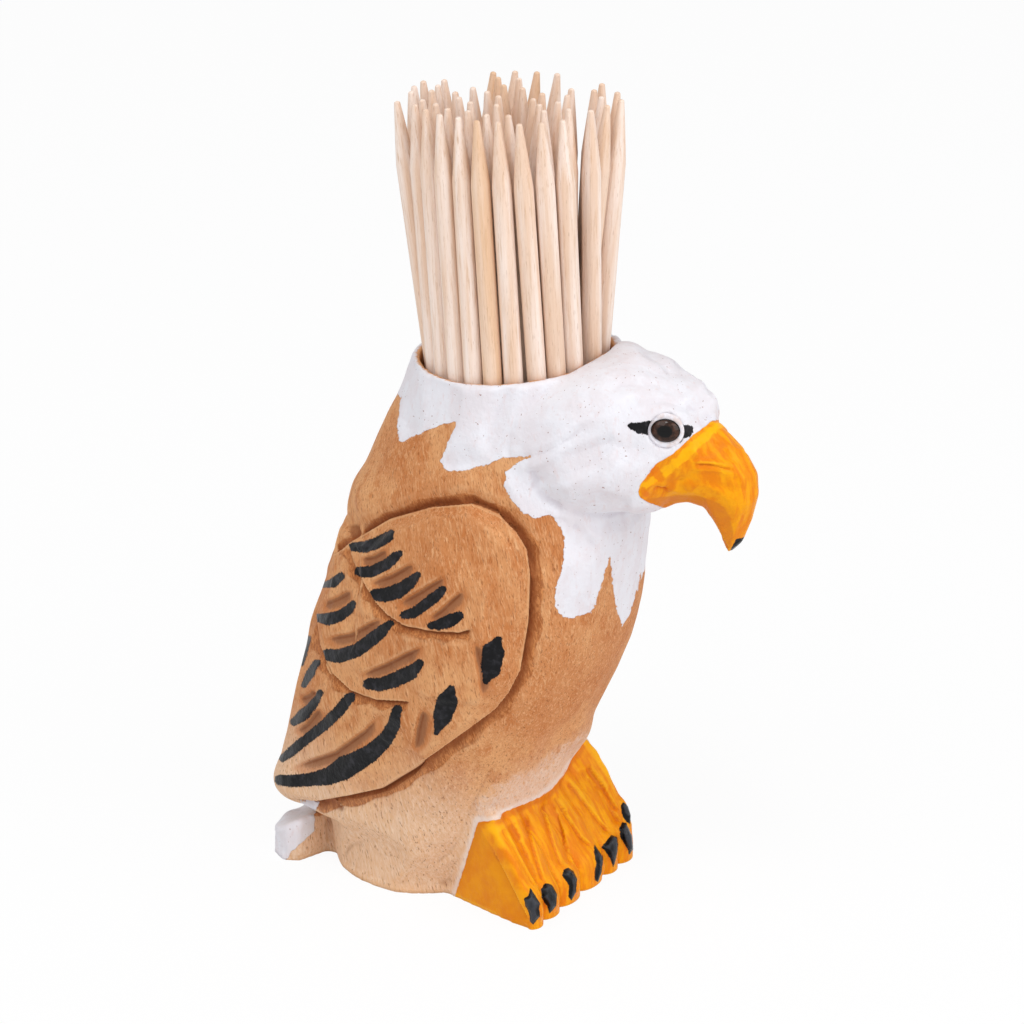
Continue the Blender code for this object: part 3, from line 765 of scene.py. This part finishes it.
def body_freedom(points):
    """How freely each point moves in smoothing: not at all in the bore, and little by sharp forms."""
    x, _, z = points.T
    off_bore = from_axis(points) - BORE_RADIUS
    freedom = np.where(in_bore(points), 0, 1.0)
    by_rim = (z > RIM_HEIGHT - 8) & (off_bore < 3)
    freedom = np.where(by_rim, smooth_step(0.3, 1.5, off_bore), freedom)
    freedom *= smooth_step(0.6, 2, eye_gaps(points) - EYE_SEAT_RADIUS)
    freedom *= np.where(x > BEAK_STIFF_X, BEAK_FREEDOM, 1)
    freedom *= np.where(in_front(points, FEET_STIFF), FEET_FREEDOM, 1)
    return np.where(z < 3 * GROUND_BAND, FEET_FREEDOM * freedom, freedom)


def rounded_body():
    """A fine mesh of the solid with its edges rounded and its size kept."""
    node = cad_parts["carved_body"]
    mesh = remeshed(node, VOXEL)
    mesh.name = "eagle_body"
    points = read_points(mesh)
    on_ground = points[:, 2] < GROUND_BAND
    freedom = body_freedom(points)
    pairs = edge_pairs(mesh)
    points = smoothed(points, pairs, SMOOTH_STEPS, freedom[:, None])
    points[on_ground, 2] = 0
    write_points(mesh, points)
    normals = read_normals(mesh)
    shrunk = smoothed(shrinkage(points, normals, node)[:, None], pairs, SMOOTH_STEPS)[:, 0]
    shrunk *= np.where(points[:, 0] > BEAK_STIFF_X, 1, smooth_step(0, 0.5, freedom))
    points = points + normals * shrunk[:, None]
    points[on_ground, 2] = 0
    write_points(mesh, points)
    refined(mesh, detail(points, read_normals(mesh)))
    return mesh


def shaped(mesh, points, outside):
    """The points after the knife cuts, the moves of the outline, the toes and the beak's underside."""
    normals = read_normals(mesh)
    areas = painted_areas(points, normals)
    on_head = smooth_step(-1, 1, areas["white"])
    on_beak = smooth_step(-0.3, 0.3, areas["beak"])
    on_feet = smooth_step(-0.3, 0.3, areas["feet"])
    wood = 1 - np.maximum(np.maximum(on_head, on_feet), on_beak)
    moves = np.zeros(len(points))
    kinds = ((HEAD_FACETS, on_head * (1 - on_beak)), (WOOD_FACETS, wood), (BEAK_FACETS, on_beak))
    for kind, share in kinds:
        moves += (facet_cuts(points, normals, *kind[:4]) + kind[4]) * share
    _, actual, facing, _ = look_up(points, normals)
    off_eyes = eye_gaps(points) - EYE_SEAT_RADIUS
    moves *= smooth_step(0.3, 2.5, off_eyes)
    pushes = outline_moves(actual, facing) * smooth_step(0.2, 1.2, off_eyes)
    moves = (moves + pushes) * smooth_step(0.2, 1.2, points[:, 2])
    moves = smoothed(moves[:, None], edge_pairs(mesh), 2)[:, 0]
    forward = toe_moves(points, normals)
    _, dropped = underside(points, normals, areas)
    points = points + normals * (moves * outside)[:, None]
    points[:, 0] += forward
    in_beak = (areas["beak"] > -0.3) & (points[:, 0] > BEAK_TIP_X)
    tip = points[in_beak, 2].min()
    share = np.where(in_beak, np.clip(1 - (points[:, 2] - tip) / BEAK_TIP_REACH, 0, 1), 0) ** 2
    points[:, 2] -= BEAK_TIP_DROP * share + BEAK_UNDER_DROP * dropped * (1 - share)
    write_points(mesh, points)
    return points


def engraved(mesh, points, outside):
    """The points after the carved lines and the raised claws, and what the paint reads at each."""
    normals = read_normals(mesh)
    areas = painted_areas(points, normals)
    under, _ = underside(points, normals, areas)
    cuts, band, gouges = carved_cuts(points, normals, areas)
    rise = CLAW_RISE * smooth_step(-0.1, 0.6, areas["claws"]) * (points[:, 2] < CLAW_PAINT[1])
    points = points + normals * ((rise - cuts) * outside)[:, None]
    low, high = np.array(cad_box) * TO_MM
    points = np.clip(points, low + (BOX_CLEARANCE, BOX_CLEARANCE, 0), high - BOX_CLEARANCE)
    points[points[:, 2] < GROUND_BAND / 2, 2] = 0
    write_points(mesh, points)
    calm = smoothed(points, edge_pairs(mesh), HOLLOW_STEPS)
    hollow = ((calm - points) * read_normals(mesh)).sum(1)
    return dict(areas, cuts=cuts, band=band, under=under, gouges=gouges, hollow=hollow)


def sculpted_body():
    mesh = rounded_body()
    points = read_points(mesh)
    bored = in_bore(points)
    off_bore = from_axis(points) - BORE_RADIUS - 0.3
    outside = np.where(points[:, 2] < WELL_FLOOR, 1, smooth_step(0, 0.8, off_bore))
    values = engraved(mesh, shaped(mesh, points, outside), outside)
    values["bore"] = bored.astype(float)
    for name, numbers in values.items():
        write_values(mesh, name, numbers)
    body = link_piece("eagle_body", mesh, painted_wood())
    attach(body, "holder")
    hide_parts("carved_body")


# Materials

def new_material(name):
    made = bpy.data.materials.new(name)
    made.use_nodes = True
    return made, made.node_tree, made.node_tree.nodes["Principled BSDF"]


def set_inputs(node, inputs):
    """Links a node's inputs to other nodes' outputs, or sets them to values."""
    for name, value in inputs.items():
        if isinstance(value, bpy.types.NodeSocket):
            node.id_data.links.new(value, node.inputs[name])
        else:
            node.inputs[name].default_value = value


def add(tree, kind, inputs=(), **settings):
    made = tree.nodes.new(kind)
    for name, value in settings.items():
        setattr(made, name, value)
    set_inputs(made, dict(inputs))
    return made


def mixed(share, first, second):
    """A colour between two, each a socket or its values on screen from 0 to 255."""
    first, second = (linear(*tone) if isinstance(tone, tuple) else tone for tone in (first, second))
    inputs = {0: share, 6: first, 7: second}
    return add(share.id_data, "ShaderNodeMix", inputs, data_type="RGBA").outputs[2]


def layered(colour, *layers):
    """A colour under thin layers, each given by where it lies, its strength there and its colour."""
    for share, strength, top in layers:
        colour = mixed(scaled(share, strength), colour, top)
    return colour


def reckoned(operation, *values):
    """What an operation makes of sockets and values."""
    tree = next(value.id_data for value in values if isinstance(value, bpy.types.NodeSocket))
    return add(tree, "ShaderNodeMath", enumerate(values), operation=operation).outputs[0]


def scaled(value, factor):
    return reckoned("MULTIPLY", value, factor)


def with_more(value, factor, more):
    """The value times the factor, with more added."""
    return reckoned("MULTIPLY_ADD", value, factor, more)


def greatest(value, *others):
    for other in others:
        value = reckoned("MAXIMUM", value, other)
    return value


def ramped(value, low, high):
    """0 below low and 1 above high, with a smooth step between."""
    inputs = {"Value": value, "From Min": low, "From Max": high}
    return add(value.id_data, "ShaderNodeMapRange", inputs, interpolation_type="SMOOTHSTEP").outputs[0]


def noise(place, scale, detail=2.0, roughness=0.5, distortion=0.0):
    inputs = {"Vector": place, "Scale": scale, "Detail": detail, "Roughness": roughness}
    return add(place.id_data, "ShaderNodeTexNoise", dict(inputs, Distortion=distortion)).outputs["Fac"]


def stretched(place, shares):
    inputs = {0: place, 1: shares}
    return add(place.id_data, "ShaderNodeVectorMath", inputs, operation="MULTIPLY").outputs[0]


def attribute(tree, name):
    return add(tree, "ShaderNodeAttribute", attribute_name=name).outputs["Fac"]


def place_in_mm(tree):
    place = add(tree, "ShaderNodeTexCoord").outputs["Object"]
    return stretched(place, (TO_MM, TO_MM, TO_MM))


def ragged(name, place, reach, scale, soft, detail=3):
    """A painted area's share, with an edge that noise pushes in and out by the reach."""
    wobble = reckoned("SUBTRACT", noise(place, scale, detail, 0.6), 0.5)
    return ramped(with_more(wobble, reach, attribute(place.id_data, name)), -soft, soft)


def relief_of(height, depth):
    """Small relief in the surface, as deep as given in millimetres."""
    inputs = {"Height": height, "Distance": depth * MM, "Strength": 1.0}
    return add(height.id_data, "ShaderNodeBump", inputs).outputs[0]


def painted_wood():
    made, tree, shader = new_material("painted_wood")
    place = place_in_mm(tree)
    lean = {"Vector": place, "Angle": GRAIN_LEAN}
    lean = add(tree, "ShaderNodeVectorRotate", lean, rotation_type="Y_AXIS").outputs[0]
    upright = stretched(lean, (1, 1, 0.14))
    height = add(tree, "ShaderNodeSeparateXYZ", {0: place}).outputs["Z"]
    names = ("band", "cuts", "feet", "gouges", "hollow")
    band, depth, feet_depth, gouges, hollow = (attribute(tree, name) for name in names)
    # Painted shade and highlight: hollows, where the surface lies below its smoothed copy, are darkened,
    # and ridges, where it stands above it, are lightened
    shade_in_hollows = ramped(hollow, 0.02, 0.11)
    off_feet = reckoned("SUBTRACT", 1.0, ramped(feet_depth, -2.5, -0.8))
    shade_in_hollows_off_feet = scaled(shade_in_hollows, off_feet)
    raised = ramped(hollow, -0.02, -0.1)

    # Stained wood: broad tones, upright fibres and short dark flecks, with painted shade in the carved
    # cuts, gouges and hollows and painted highlight on the ridges
    broad = noise(stretched(place, (1, 1, 0.5)), 0.11, 3, 0.55)
    mottle = noise(stretched(place, (1, 1, 0.6)), 0.5, 4, 0.65)
    fibres = noise(upright, 3.6, 6, 0.72, 0.6)
    fine = noise(upright, 9.0, 3, 0.6)
    flecks = noise(stretched(lean, (1, 1, 0.25)), 4.2, 2, 0.55)
    splinters = noise(stretched(lean, (1, 1, 0.3)), 2.6, 5, 0.75, 1.2)
    pale = mixed(ramped(fibres, 0.35, 0.7), (228, 186, 146), (242, 214, 188))
    band_wood = mixed(ramped(splinters, 0.42, 0.62), (154, 84, 38), (214, 142, 84))
    rough_band = with_more(reckoned("SUBTRACT", mottle, 0.5), 1.2, band)
    wash = ragged("wash", place, 3.4, 0.7, 0.7)
    wash = scaled(wash, ramped(splinters, 0.35, 0.6))
    colour = mixed(ramped(broad, 0.36, 0.64), (202, 132, 80), (220, 160, 108))
    colour = layered(
        colour,
        (ramped(mottle, 0.44, 0.66), 0.75, (190, 114, 60)),
        (ramped(fibres, 0.46, 0.68), 0.75, (232, 180, 132)),
        (ramped(fine, 0.5, 0.72), 0.6, (158, 90, 46)),
        (ramped(with_more(broad, 16.0, height), 31.0, 17.0), 0.85, pale),
        (ramped(flecks, 0.6, 0.7), 0.6, (136, 76, 38)),
        # Darker rough cut wood along the wing's carved edges, and painted shade under the tiers' edges
        (ramped(rough_band, 0.3, 0.8), 0.85, band_wood),
        # Painted shade: darker where the carved cuts go deeper, and brown-grey along the feather gouges
        (ramped(with_more(splinters, 0.35, depth), 0.42, 0.85), 0.7, (138, 72, 34)),
        (ramped(gouges, 0.05, 0.2), 0.5, (188, 112, 60)),
        (ramped(with_more(splinters, 0.3, gouges), 0.36, 0.52), 0.65, (134, 92, 66)),
        # Painted shade in the hollows and painted highlight on the ridges
        (shade_in_hollows_off_feet, 0.7, (132, 70, 34)),
        (raised, 0.35, (236, 188, 140)),
        (wash, 0.45, (238, 226, 218)),
        (ramped(with_more(mottle, 1.2, feet_depth), -0.2, 0.4), 0.55, (240, 230, 226)),
    )

    # Thin white paint: wood shows through it in soft patches and as small specks, painted shade greys its
    # hollows and painted highlight lightens its ridges
    white = greatest(ragged("white", place, 0.9, 1.1, 0.06), ragged("tail", place, 0.6, 1.3, 0.06))
    white = scaled(white, reckoned("SUBTRACT", 1.0, attribute(tree, "bore")))
    thin = noise(stretched(place, (1, 1, 0.7)), 0.3, 4, 0.62)
    streaks = noise(stretched(place, (1, 1, 0.35)), 1.5, 4, 0.65)
    paint = mixed(ramped(thin, 0.4, 0.62), (228, 227, 233), (224, 219, 224))
    paint = layered(
        paint,
        (ramped(streaks, 0.54, 0.74), 0.5, (218, 199, 199)),
        # Painted shade in the hollows and painted highlight on the ridges
        (shade_in_hollows_off_feet, 0.4, (198, 190, 199)),
        (raised, 0.3, (234, 231, 237)),
        (ramped(noise(place, 3.0, 1, 0.5), 0.72, 0.77), 0.75, (146, 104, 92)),
    )
    colour = mixed(white, colour, paint)

    # Yellow paint, brushed along the toes and over the beak's planes, with painted shade in its cuts,
    # hollows and underside and painted highlight on the beak's ridge and on raised edges
    feet = ragged("feet", place, 0.3, 1.6, 0.05)
    yellow = greatest(ragged("beak", place, 0.3, 1.6, 0.05), feet)
    brush = noise(stretched(place, (0.2, 1, 0.2)), 1.6, 4, 0.6)
    dabs = noise(place, 0.45, 3, 0.55)
    # Painted shade on the beak's underside, broken by the dabs
    shaded = with_more(reckoned("SUBTRACT", dabs, 0.5), 1.4, attribute(tree, "under"))
    rough_edge = ramped(with_more(mottle, 1.4, feet_depth), 1.6, 1.1)
    rough_edge = scaled(rough_edge, ramped(height, 3.0, 6.0))
    gold = mixed(ramped(brush, 0.38, 0.62), (228, 128, 0), (242, 160, 0))
    gold = layered(
        gold,
        (ramped(dabs, 0.5, 0.68), 0.6, (228, 132, 12)),
        # Painted highlight of bright yellow along the ridge between cheek and beak
        (ragged("ridge", place, 0.9, 1.4, 0.16), 0.8, (252, 182, 0)),
        (ramped(shaded, 0.15, 0.75), 0.75, (214, 122, 24)),
        (ragged("lobes", place, 0.6, 1.6, 0.14), 0.7, (224, 112, 4)),
        # Painted shade in the carved cuts
        (ramped(depth, 0.1, 0.6), 0.45, (216, 110, 6)),
        (scaled(rough_edge, feet), 0.7, (214, 114, 16)),
        (ramped(attribute(tree, "side"), -0.1, 0.1), 0.55, (216, 134, 10)),
        # Painted shade in the hollows and painted highlight on the ridges
        (shade_in_hollows, 0.45, (198, 92, 2)),
        (raised, 0.55, (255, 190, 20)),
    )
    colour = mixed(yellow, colour, gold)

    # Black paint with bristle marks, and dark claws with painted highlight on their ridges
    black = ragged("black", stretched(place, (1, 1, 0.5)), 0.5, 5.0, 0.05, 2)
    claws = ragged("claws", place, 0.25, 2.0, 0.05)
    faded = ramped(noise(place, 0.9, 3, 0.6), 0.45, 0.75)
    colour = mixed(black, colour, mixed(faded, (12, 12, 15), (44, 43, 48)))
    # Painted highlight on the claws' ridges
    colour = mixed(claws, colour, mixed(raised, (14, 15, 18), (56, 58, 64)))

    rough = with_more(fibres, 0.15, 0.58)
    satin = greatest(scaled(yellow, 0.5), scaled(black, 0.55), claws)
    rough = add(tree, "ShaderNodeMix", {0: satin, 2: rough, 3: 0.25}).outputs[0]
    painted = greatest(yellow, black, claws)
    covered = greatest(white, painted)
    grain = with_more(fine, 0.4, fibres)
    grain = scaled(grain, with_more(covered, -0.75, 1.0))
    lumps = scaled(noise(place, 1.3, 3, 0.55), covered)
    chips = scaled(mottle, band)
    layer = reckoned("ADD", white, painted)
    relief = reckoned("ADD", scaled(layer, 0.6), scaled(chips, 3.0))
    relief = reckoned("ADD", relief, reckoned("ADD", grain, lumps))
    set_inputs(shader, {"Base Color": colour, "Roughness": rough, "Specular IOR Level": 0.17})
    set_inputs(shader, {"Normal": relief_of(relief, 0.12)})
    return made


def bead_glass():
    made, tree, shader = new_material("brown_bead")
    ring = attribute(tree, "ring")
    veins = noise(place_in_mm(tree), 2.2, 3, 0.6)
    iris = mixed(ramped(veins, 0.35, 0.7), (40, 24, 18), (78, 50, 38))
    colour = mixed(ramped(ring, 0.44, 0.62), (4, 4, 5), iris)
    colour = mixed(ramped(ring, 0.88, 0.95), colour, (16, 10, 8))
    set_inputs(shader, {"Base Color": colour, "Roughness": 0.03, "Specular IOR Level": 0.22})
    return made


def lid_paint():
    made, tree, shader = new_material("lid_paint")
    worn = noise(place_in_mm(tree), 1.4, 3, 0.6)
    colour = mixed(ramped(worn, 0.4, 0.7), (232, 230, 237), (220, 206, 204))
    set_inputs(shader, {"Base Color": colour, "Roughness": 0.55, "Specular IOR Level": 0.3})
    set_inputs(shader, {"Normal": relief_of(worn, 0.08)})
    return made


def pick_wood():
    made, tree, shader = new_material("pick_wood")
    tone = attribute(tree, "tone")
    # Each pick's tone shifts its place in the grain, so that no two picks look the same
    shift = scaled(tone, 97.0)
    shift = add(tree, "ShaderNodeCombineXYZ", {0: shift, 1: shift, 2: shift}).outputs[0]
    place = {0: place_in_mm(tree), 1: shift}
    place = add(tree, "ShaderNodeVectorMath", place, operation="ADD").outputs[0]
    along = stretched(place, (1, 1, 0.05))
    broad = noise(along, 0.9, 2, 0.5)
    fibres = noise(along, 4.5, 4, 0.65)
    pores = noise(stretched(place, (1, 1, 0.09)), 9.0, 2, 0.5)
    colour = mixed(ramped(broad, 0.35, 0.65), (230, 199, 175), (243, 225, 213))
    colour = layered(
        colour,
        (ramped(tone, 0.7, 1.0), 0.45, (222, 172, 118)),
        (ramped(fibres, 0.5, 0.74), 0.6, (203, 158, 116)),
        (ramped(pores, 0.62, 0.75), 0.4, (170, 124, 88)),
    )
    bump = relief_of(with_more(pores, 0.4, fibres), 0.06)
    set_inputs(shader, {"Base Color": colour, "Roughness": 0.62, "Normal": bump})
    return made


# Eyes and toothpicks

def link_piece(name, mesh, coat):
    mesh.materials.clear()
    mesh.materials.append(coat)
    mesh.polygons.foreach_set("use_smooth", np.ones(len(mesh.polygons), bool))
    made = bpy.data.objects.new(name, mesh)
    bpy.context.scene.collection.objects.link(made)
    return made


def place_upon(piece, foot, turn):
    """Stands a piece on a foot in millimetres, with its Z turned along the axis."""
    piece.matrix_world = Matrix.Translation(Vector(foot) * MM) @ turn


def upright_on(axis):
    """The turn that points Z along an axis."""
    return Vector(axis).to_track_quat("Z", "Y").to_matrix().to_4x4()


def ringed(name, rings, looped=False):
    """A mesh from rings of places in millimetres: a loop of them, or a row with both ends closed."""
    data = bmesh.new()
    rings = [[data.verts.new(Vector(place) * MM) for place in ring] for ring in rings]
    for low, high in zip(rings, rings[1:] + rings[:looped]):
        for i in range(len(low)):
            j = (i + 1) % len(low)
            data.faces.new((low[i], low[j], high[j], high[i]))
    if not looped:
        data.faces.new(rings[0][::-1])
        data.faces.new(rings[-1])
    mesh = bpy.data.meshes.new(name)
    data.to_mesh(mesh)
    data.free()
    return mesh


def lathed(name, profile, sides):
    """A turned mesh from (radius, height) points in millimetres."""
    rings = []
    for radius, height in profile:
        turns = [2 * math.pi * i / sides for i in range(sides)]
        rings.append([(radius * math.cos(way), radius * math.sin(way), height) for way in turns])
    return ringed(name, rings)


def axis_of(points):
    """A turned node's lower and upper end, from the line its points lie along."""
    middle = (points.max(0) + points.min(0)) / 2
    _, _, axes = np.linalg.svd(points - middle, full_matrices=False)
    axis = axes[0] if axes[0][2] > 0 else -axes[0]
    along = (points - middle) @ axis
    return middle + axis * along.min(), middle + axis * along.max(), axis


def pick_profile(length):
    """The pick's outline: a blunt rounded tip, a taper that eases into the shank, and back."""
    tip = []
    for angle in np.radians((20, 50, 75, 90)):
        height = PICK_TIP_HEIGHT * (1 - math.cos(angle))
        tip.append((PICK_TIP_RADIUS * math.sin(angle), PICK_TIP_RADIUS * height))
    start = tip[-1][1]
    taper = []
    for share in (0.25, 0.5, 0.72, 0.86, 0.94, 1.0):
        swell = share + PICK_SWELL * math.sin(math.pi * share)
        radius = PICK_TIP_RADIUS + (PICK_RADIUS - PICK_TIP_RADIUS) * swell
        taper.append((min(radius, PICK_RADIUS), start + (PICK_TAPER - start) * share))
    lower = tip + taper
    shank = [(PICK_RADIUS, length * share) for share in (0.25, 0.5, 0.75)]
    return lower + shank + [(radius, length - height) for radius, height in reversed(lower)]


def make_picks():
    coat = pick_wood()
    rng = np.random.default_rng(PICK_SEED)
    for name in sorted(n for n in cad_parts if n.startswith("toothpick")):
        foot, tip, axis = axis_of(read_points(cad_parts[name].data))
        length = np.linalg.norm(tip - foot) - 2 * PICK_END_CLEARANCE
        mesh = lathed(name + "_wood", pick_profile(length), PICK_SIDES)
        write_values(mesh, "tone", np.full(len(mesh.vertices), rng.uniform(0, 1)))
        piece = link_piece(name + "_wood", mesh, coat)
        spin = Matrix.Rotation(rng.uniform(0, 2 * math.pi), 4, "Z")
        place_upon(piece, foot + axis * PICK_END_CLEARANCE, upright_on(axis) @ spin)
        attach(piece, "pick_" + name[-2:])
        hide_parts(name)


def eye_frame(name):
    """The bead's lower end, its length and the turn that points Z out of the head."""
    foot, tip, axis = axis_of(read_points(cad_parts[name].data))
    if (tip - foot)[1] * foot[1] < 0:
        foot, tip, axis = tip, foot, -axis
    return foot, np.linalg.norm(tip - foot), upright_on(axis)


def eye_bead(name, coat):
    foot, length, turn = eye_frame(name)
    top = length - EYE_DOME
    seat = top - EYE_SEAT_DEPTH
    profile = [(SHANK_TIP_RADIUS, 0), (SHANK_RADIUS, SHANK_TIP_RADIUS), (SHANK_RADIUS, seat)]
    profile += [(EYE_RADIUS - BEAD_ROUND, seat), (EYE_RADIUS, seat + BEAD_ROUND), (EYE_RADIUS, top)]
    for angle in np.radians(range(10, 90, 8)):
        profile.append((EYE_RADIUS * math.cos(angle), top + EYE_DOME * math.sin(angle)))
    mesh = lathed(name + "_bead", profile, BEAD_SIDES)
    points = read_points(mesh)
    ring = np.hypot(points[:, 0], points[:, 1]) / EYE_RADIUS
    ring = np.where(points[:, 2] < top - 0.05, 1, ring)
    points[:, 1] *= np.where(points[:, 2] > seat - 0.05, EYE_SQUASH, 1)
    write_points(mesh, points)
    write_values(mesh, "ring", ring)
    piece = link_piece(name + "_bead", mesh, coat)
    place_upon(piece, foot, turn)
    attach(piece, "holder")
    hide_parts(name)


def eye_lid(name, coat):
    """The painted ridge round a bead: a ring that is wider than high and covers the bead's edge."""
    foot, length, turn = eye_frame(name)
    rings = []
    for angle in np.linspace(0, 2 * math.pi, LID_SIDES[0], endpoint=False):
        wide = LID_ACROSS[0] + LID_ACROSS[1] * math.cos(angle)
        high = LID_UPRIGHT[0] + LID_UPRIGHT[1] * math.cos(angle)
        height = length - EYE_DOME + LID_HEIGHT * (0.15 + math.sin(angle))
        turns = np.linspace(0, 2 * math.pi, LID_SIDES[1], endpoint=False)
        rings.append([(wide * math.cos(way), high * math.sin(way), height) for way in turns])
    piece = link_piece(name + "_lid", ringed(name + "_lid", rings, True), coat)
    place_upon(piece, foot, turn)
    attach(piece, "holder")


def make_eyes():
    glass = bead_glass()
    paint = lid_paint()
    for name in EYES:
        eye_bead(name, glass)
        eye_lid(name, paint)


# Floor, light and background

def seen_ray(tree):
    """1 for rays from the camera and for what gloss and glass show."""
    path = add(tree, "ShaderNodeLightPath").outputs
    return greatest(*(path[f"Is {kind} Ray"] for kind in ("Camera", "Glossy", "Transmission")))


def make_floor():
    mesh = bpy.data.meshes.new("floor")
    corners = [(x * FLOOR_REACH, y * FLOOR_REACH, 0) for x, y in ((-1, -1), (1, -1), (1, 1), (-1, 1))]
    mesh.from_pydata(corners, [], [(0, 1, 2, 3)])
    made, tree, shader = new_material("pale_floor")
    pale = (0.93, 0.93, 0.94, 1)
    set_inputs(shader, {"Base Color": pale, "Roughness": 0.9, "Specular IOR Level": 0.1})
    glow = add(tree, "ShaderNodeEmission", {"Color": (1, 1, 1, 1), "Strength": 1.0}).outputs[0]
    inputs = {0: scaled(seen_ray(tree), FLOOR_GLOW), 1: shader.outputs[0], 2: glow}
    mix = add(tree, "ShaderNodeMixShader", inputs).outputs[0]
    set_inputs(tree.nodes["Material Output"], {"Surface": mix})
    floor = bpy.data.objects.new("floor", mesh)
    mesh.materials.append(made)
    bpy.context.scene.collection.objects.link(floor)
    floor.location.z = -FLOOR_GAP


def make_world():
    world = bpy.data.worlds.new("studio")
    world.use_nodes = True
    tree = world.node_tree
    strength = add(tree, "ShaderNodeMix", {0: seen_ray(tree), 2: WORLD_STRENGTH, 3: 1.0}).outputs[0]
    set_inputs(tree.nodes["Background"], {"Color": (1, 1, 1, 1), "Strength": strength})
    bpy.context.scene.world = world


def make_lamp(name, azimuth, elevation, size, power):
    """A square lamp that shines at the object, from a place given in degrees round and above it."""
    data = bpy.data.lights.new(name, "AREA")
    data.shape = "SQUARE"
    data.size = size
    data.energy = power
    made = bpy.data.objects.new(name, data)
    bpy.context.scene.collection.objects.link(made)
    azimuth = math.radians(azimuth)
    elevation = math.radians(elevation)
    level = math.cos(elevation)
    back = Vector((math.sin(azimuth) * level, -math.cos(azimuth) * level, math.sin(elevation)))
    made.location = Vector((0, 0, LAMP_AIM)) + back * LAMP_REACH
    made.rotation_euler = back.to_track_quat("Z", "Y").to_euler()


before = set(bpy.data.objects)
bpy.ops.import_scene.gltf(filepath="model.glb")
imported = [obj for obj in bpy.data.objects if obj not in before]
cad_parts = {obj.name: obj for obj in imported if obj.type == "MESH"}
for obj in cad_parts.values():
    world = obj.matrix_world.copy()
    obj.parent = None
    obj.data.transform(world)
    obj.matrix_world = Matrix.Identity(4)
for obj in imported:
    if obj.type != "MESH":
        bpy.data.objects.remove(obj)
cad_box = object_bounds()
bpy.context.scene.view_settings.view_transform = "Standard"
make_camera()
sculpted_body()
make_eyes()
make_picks()
make_floor()
make_world()
for lamp, values in LAMPS.items():
    make_lamp(lamp, *values)
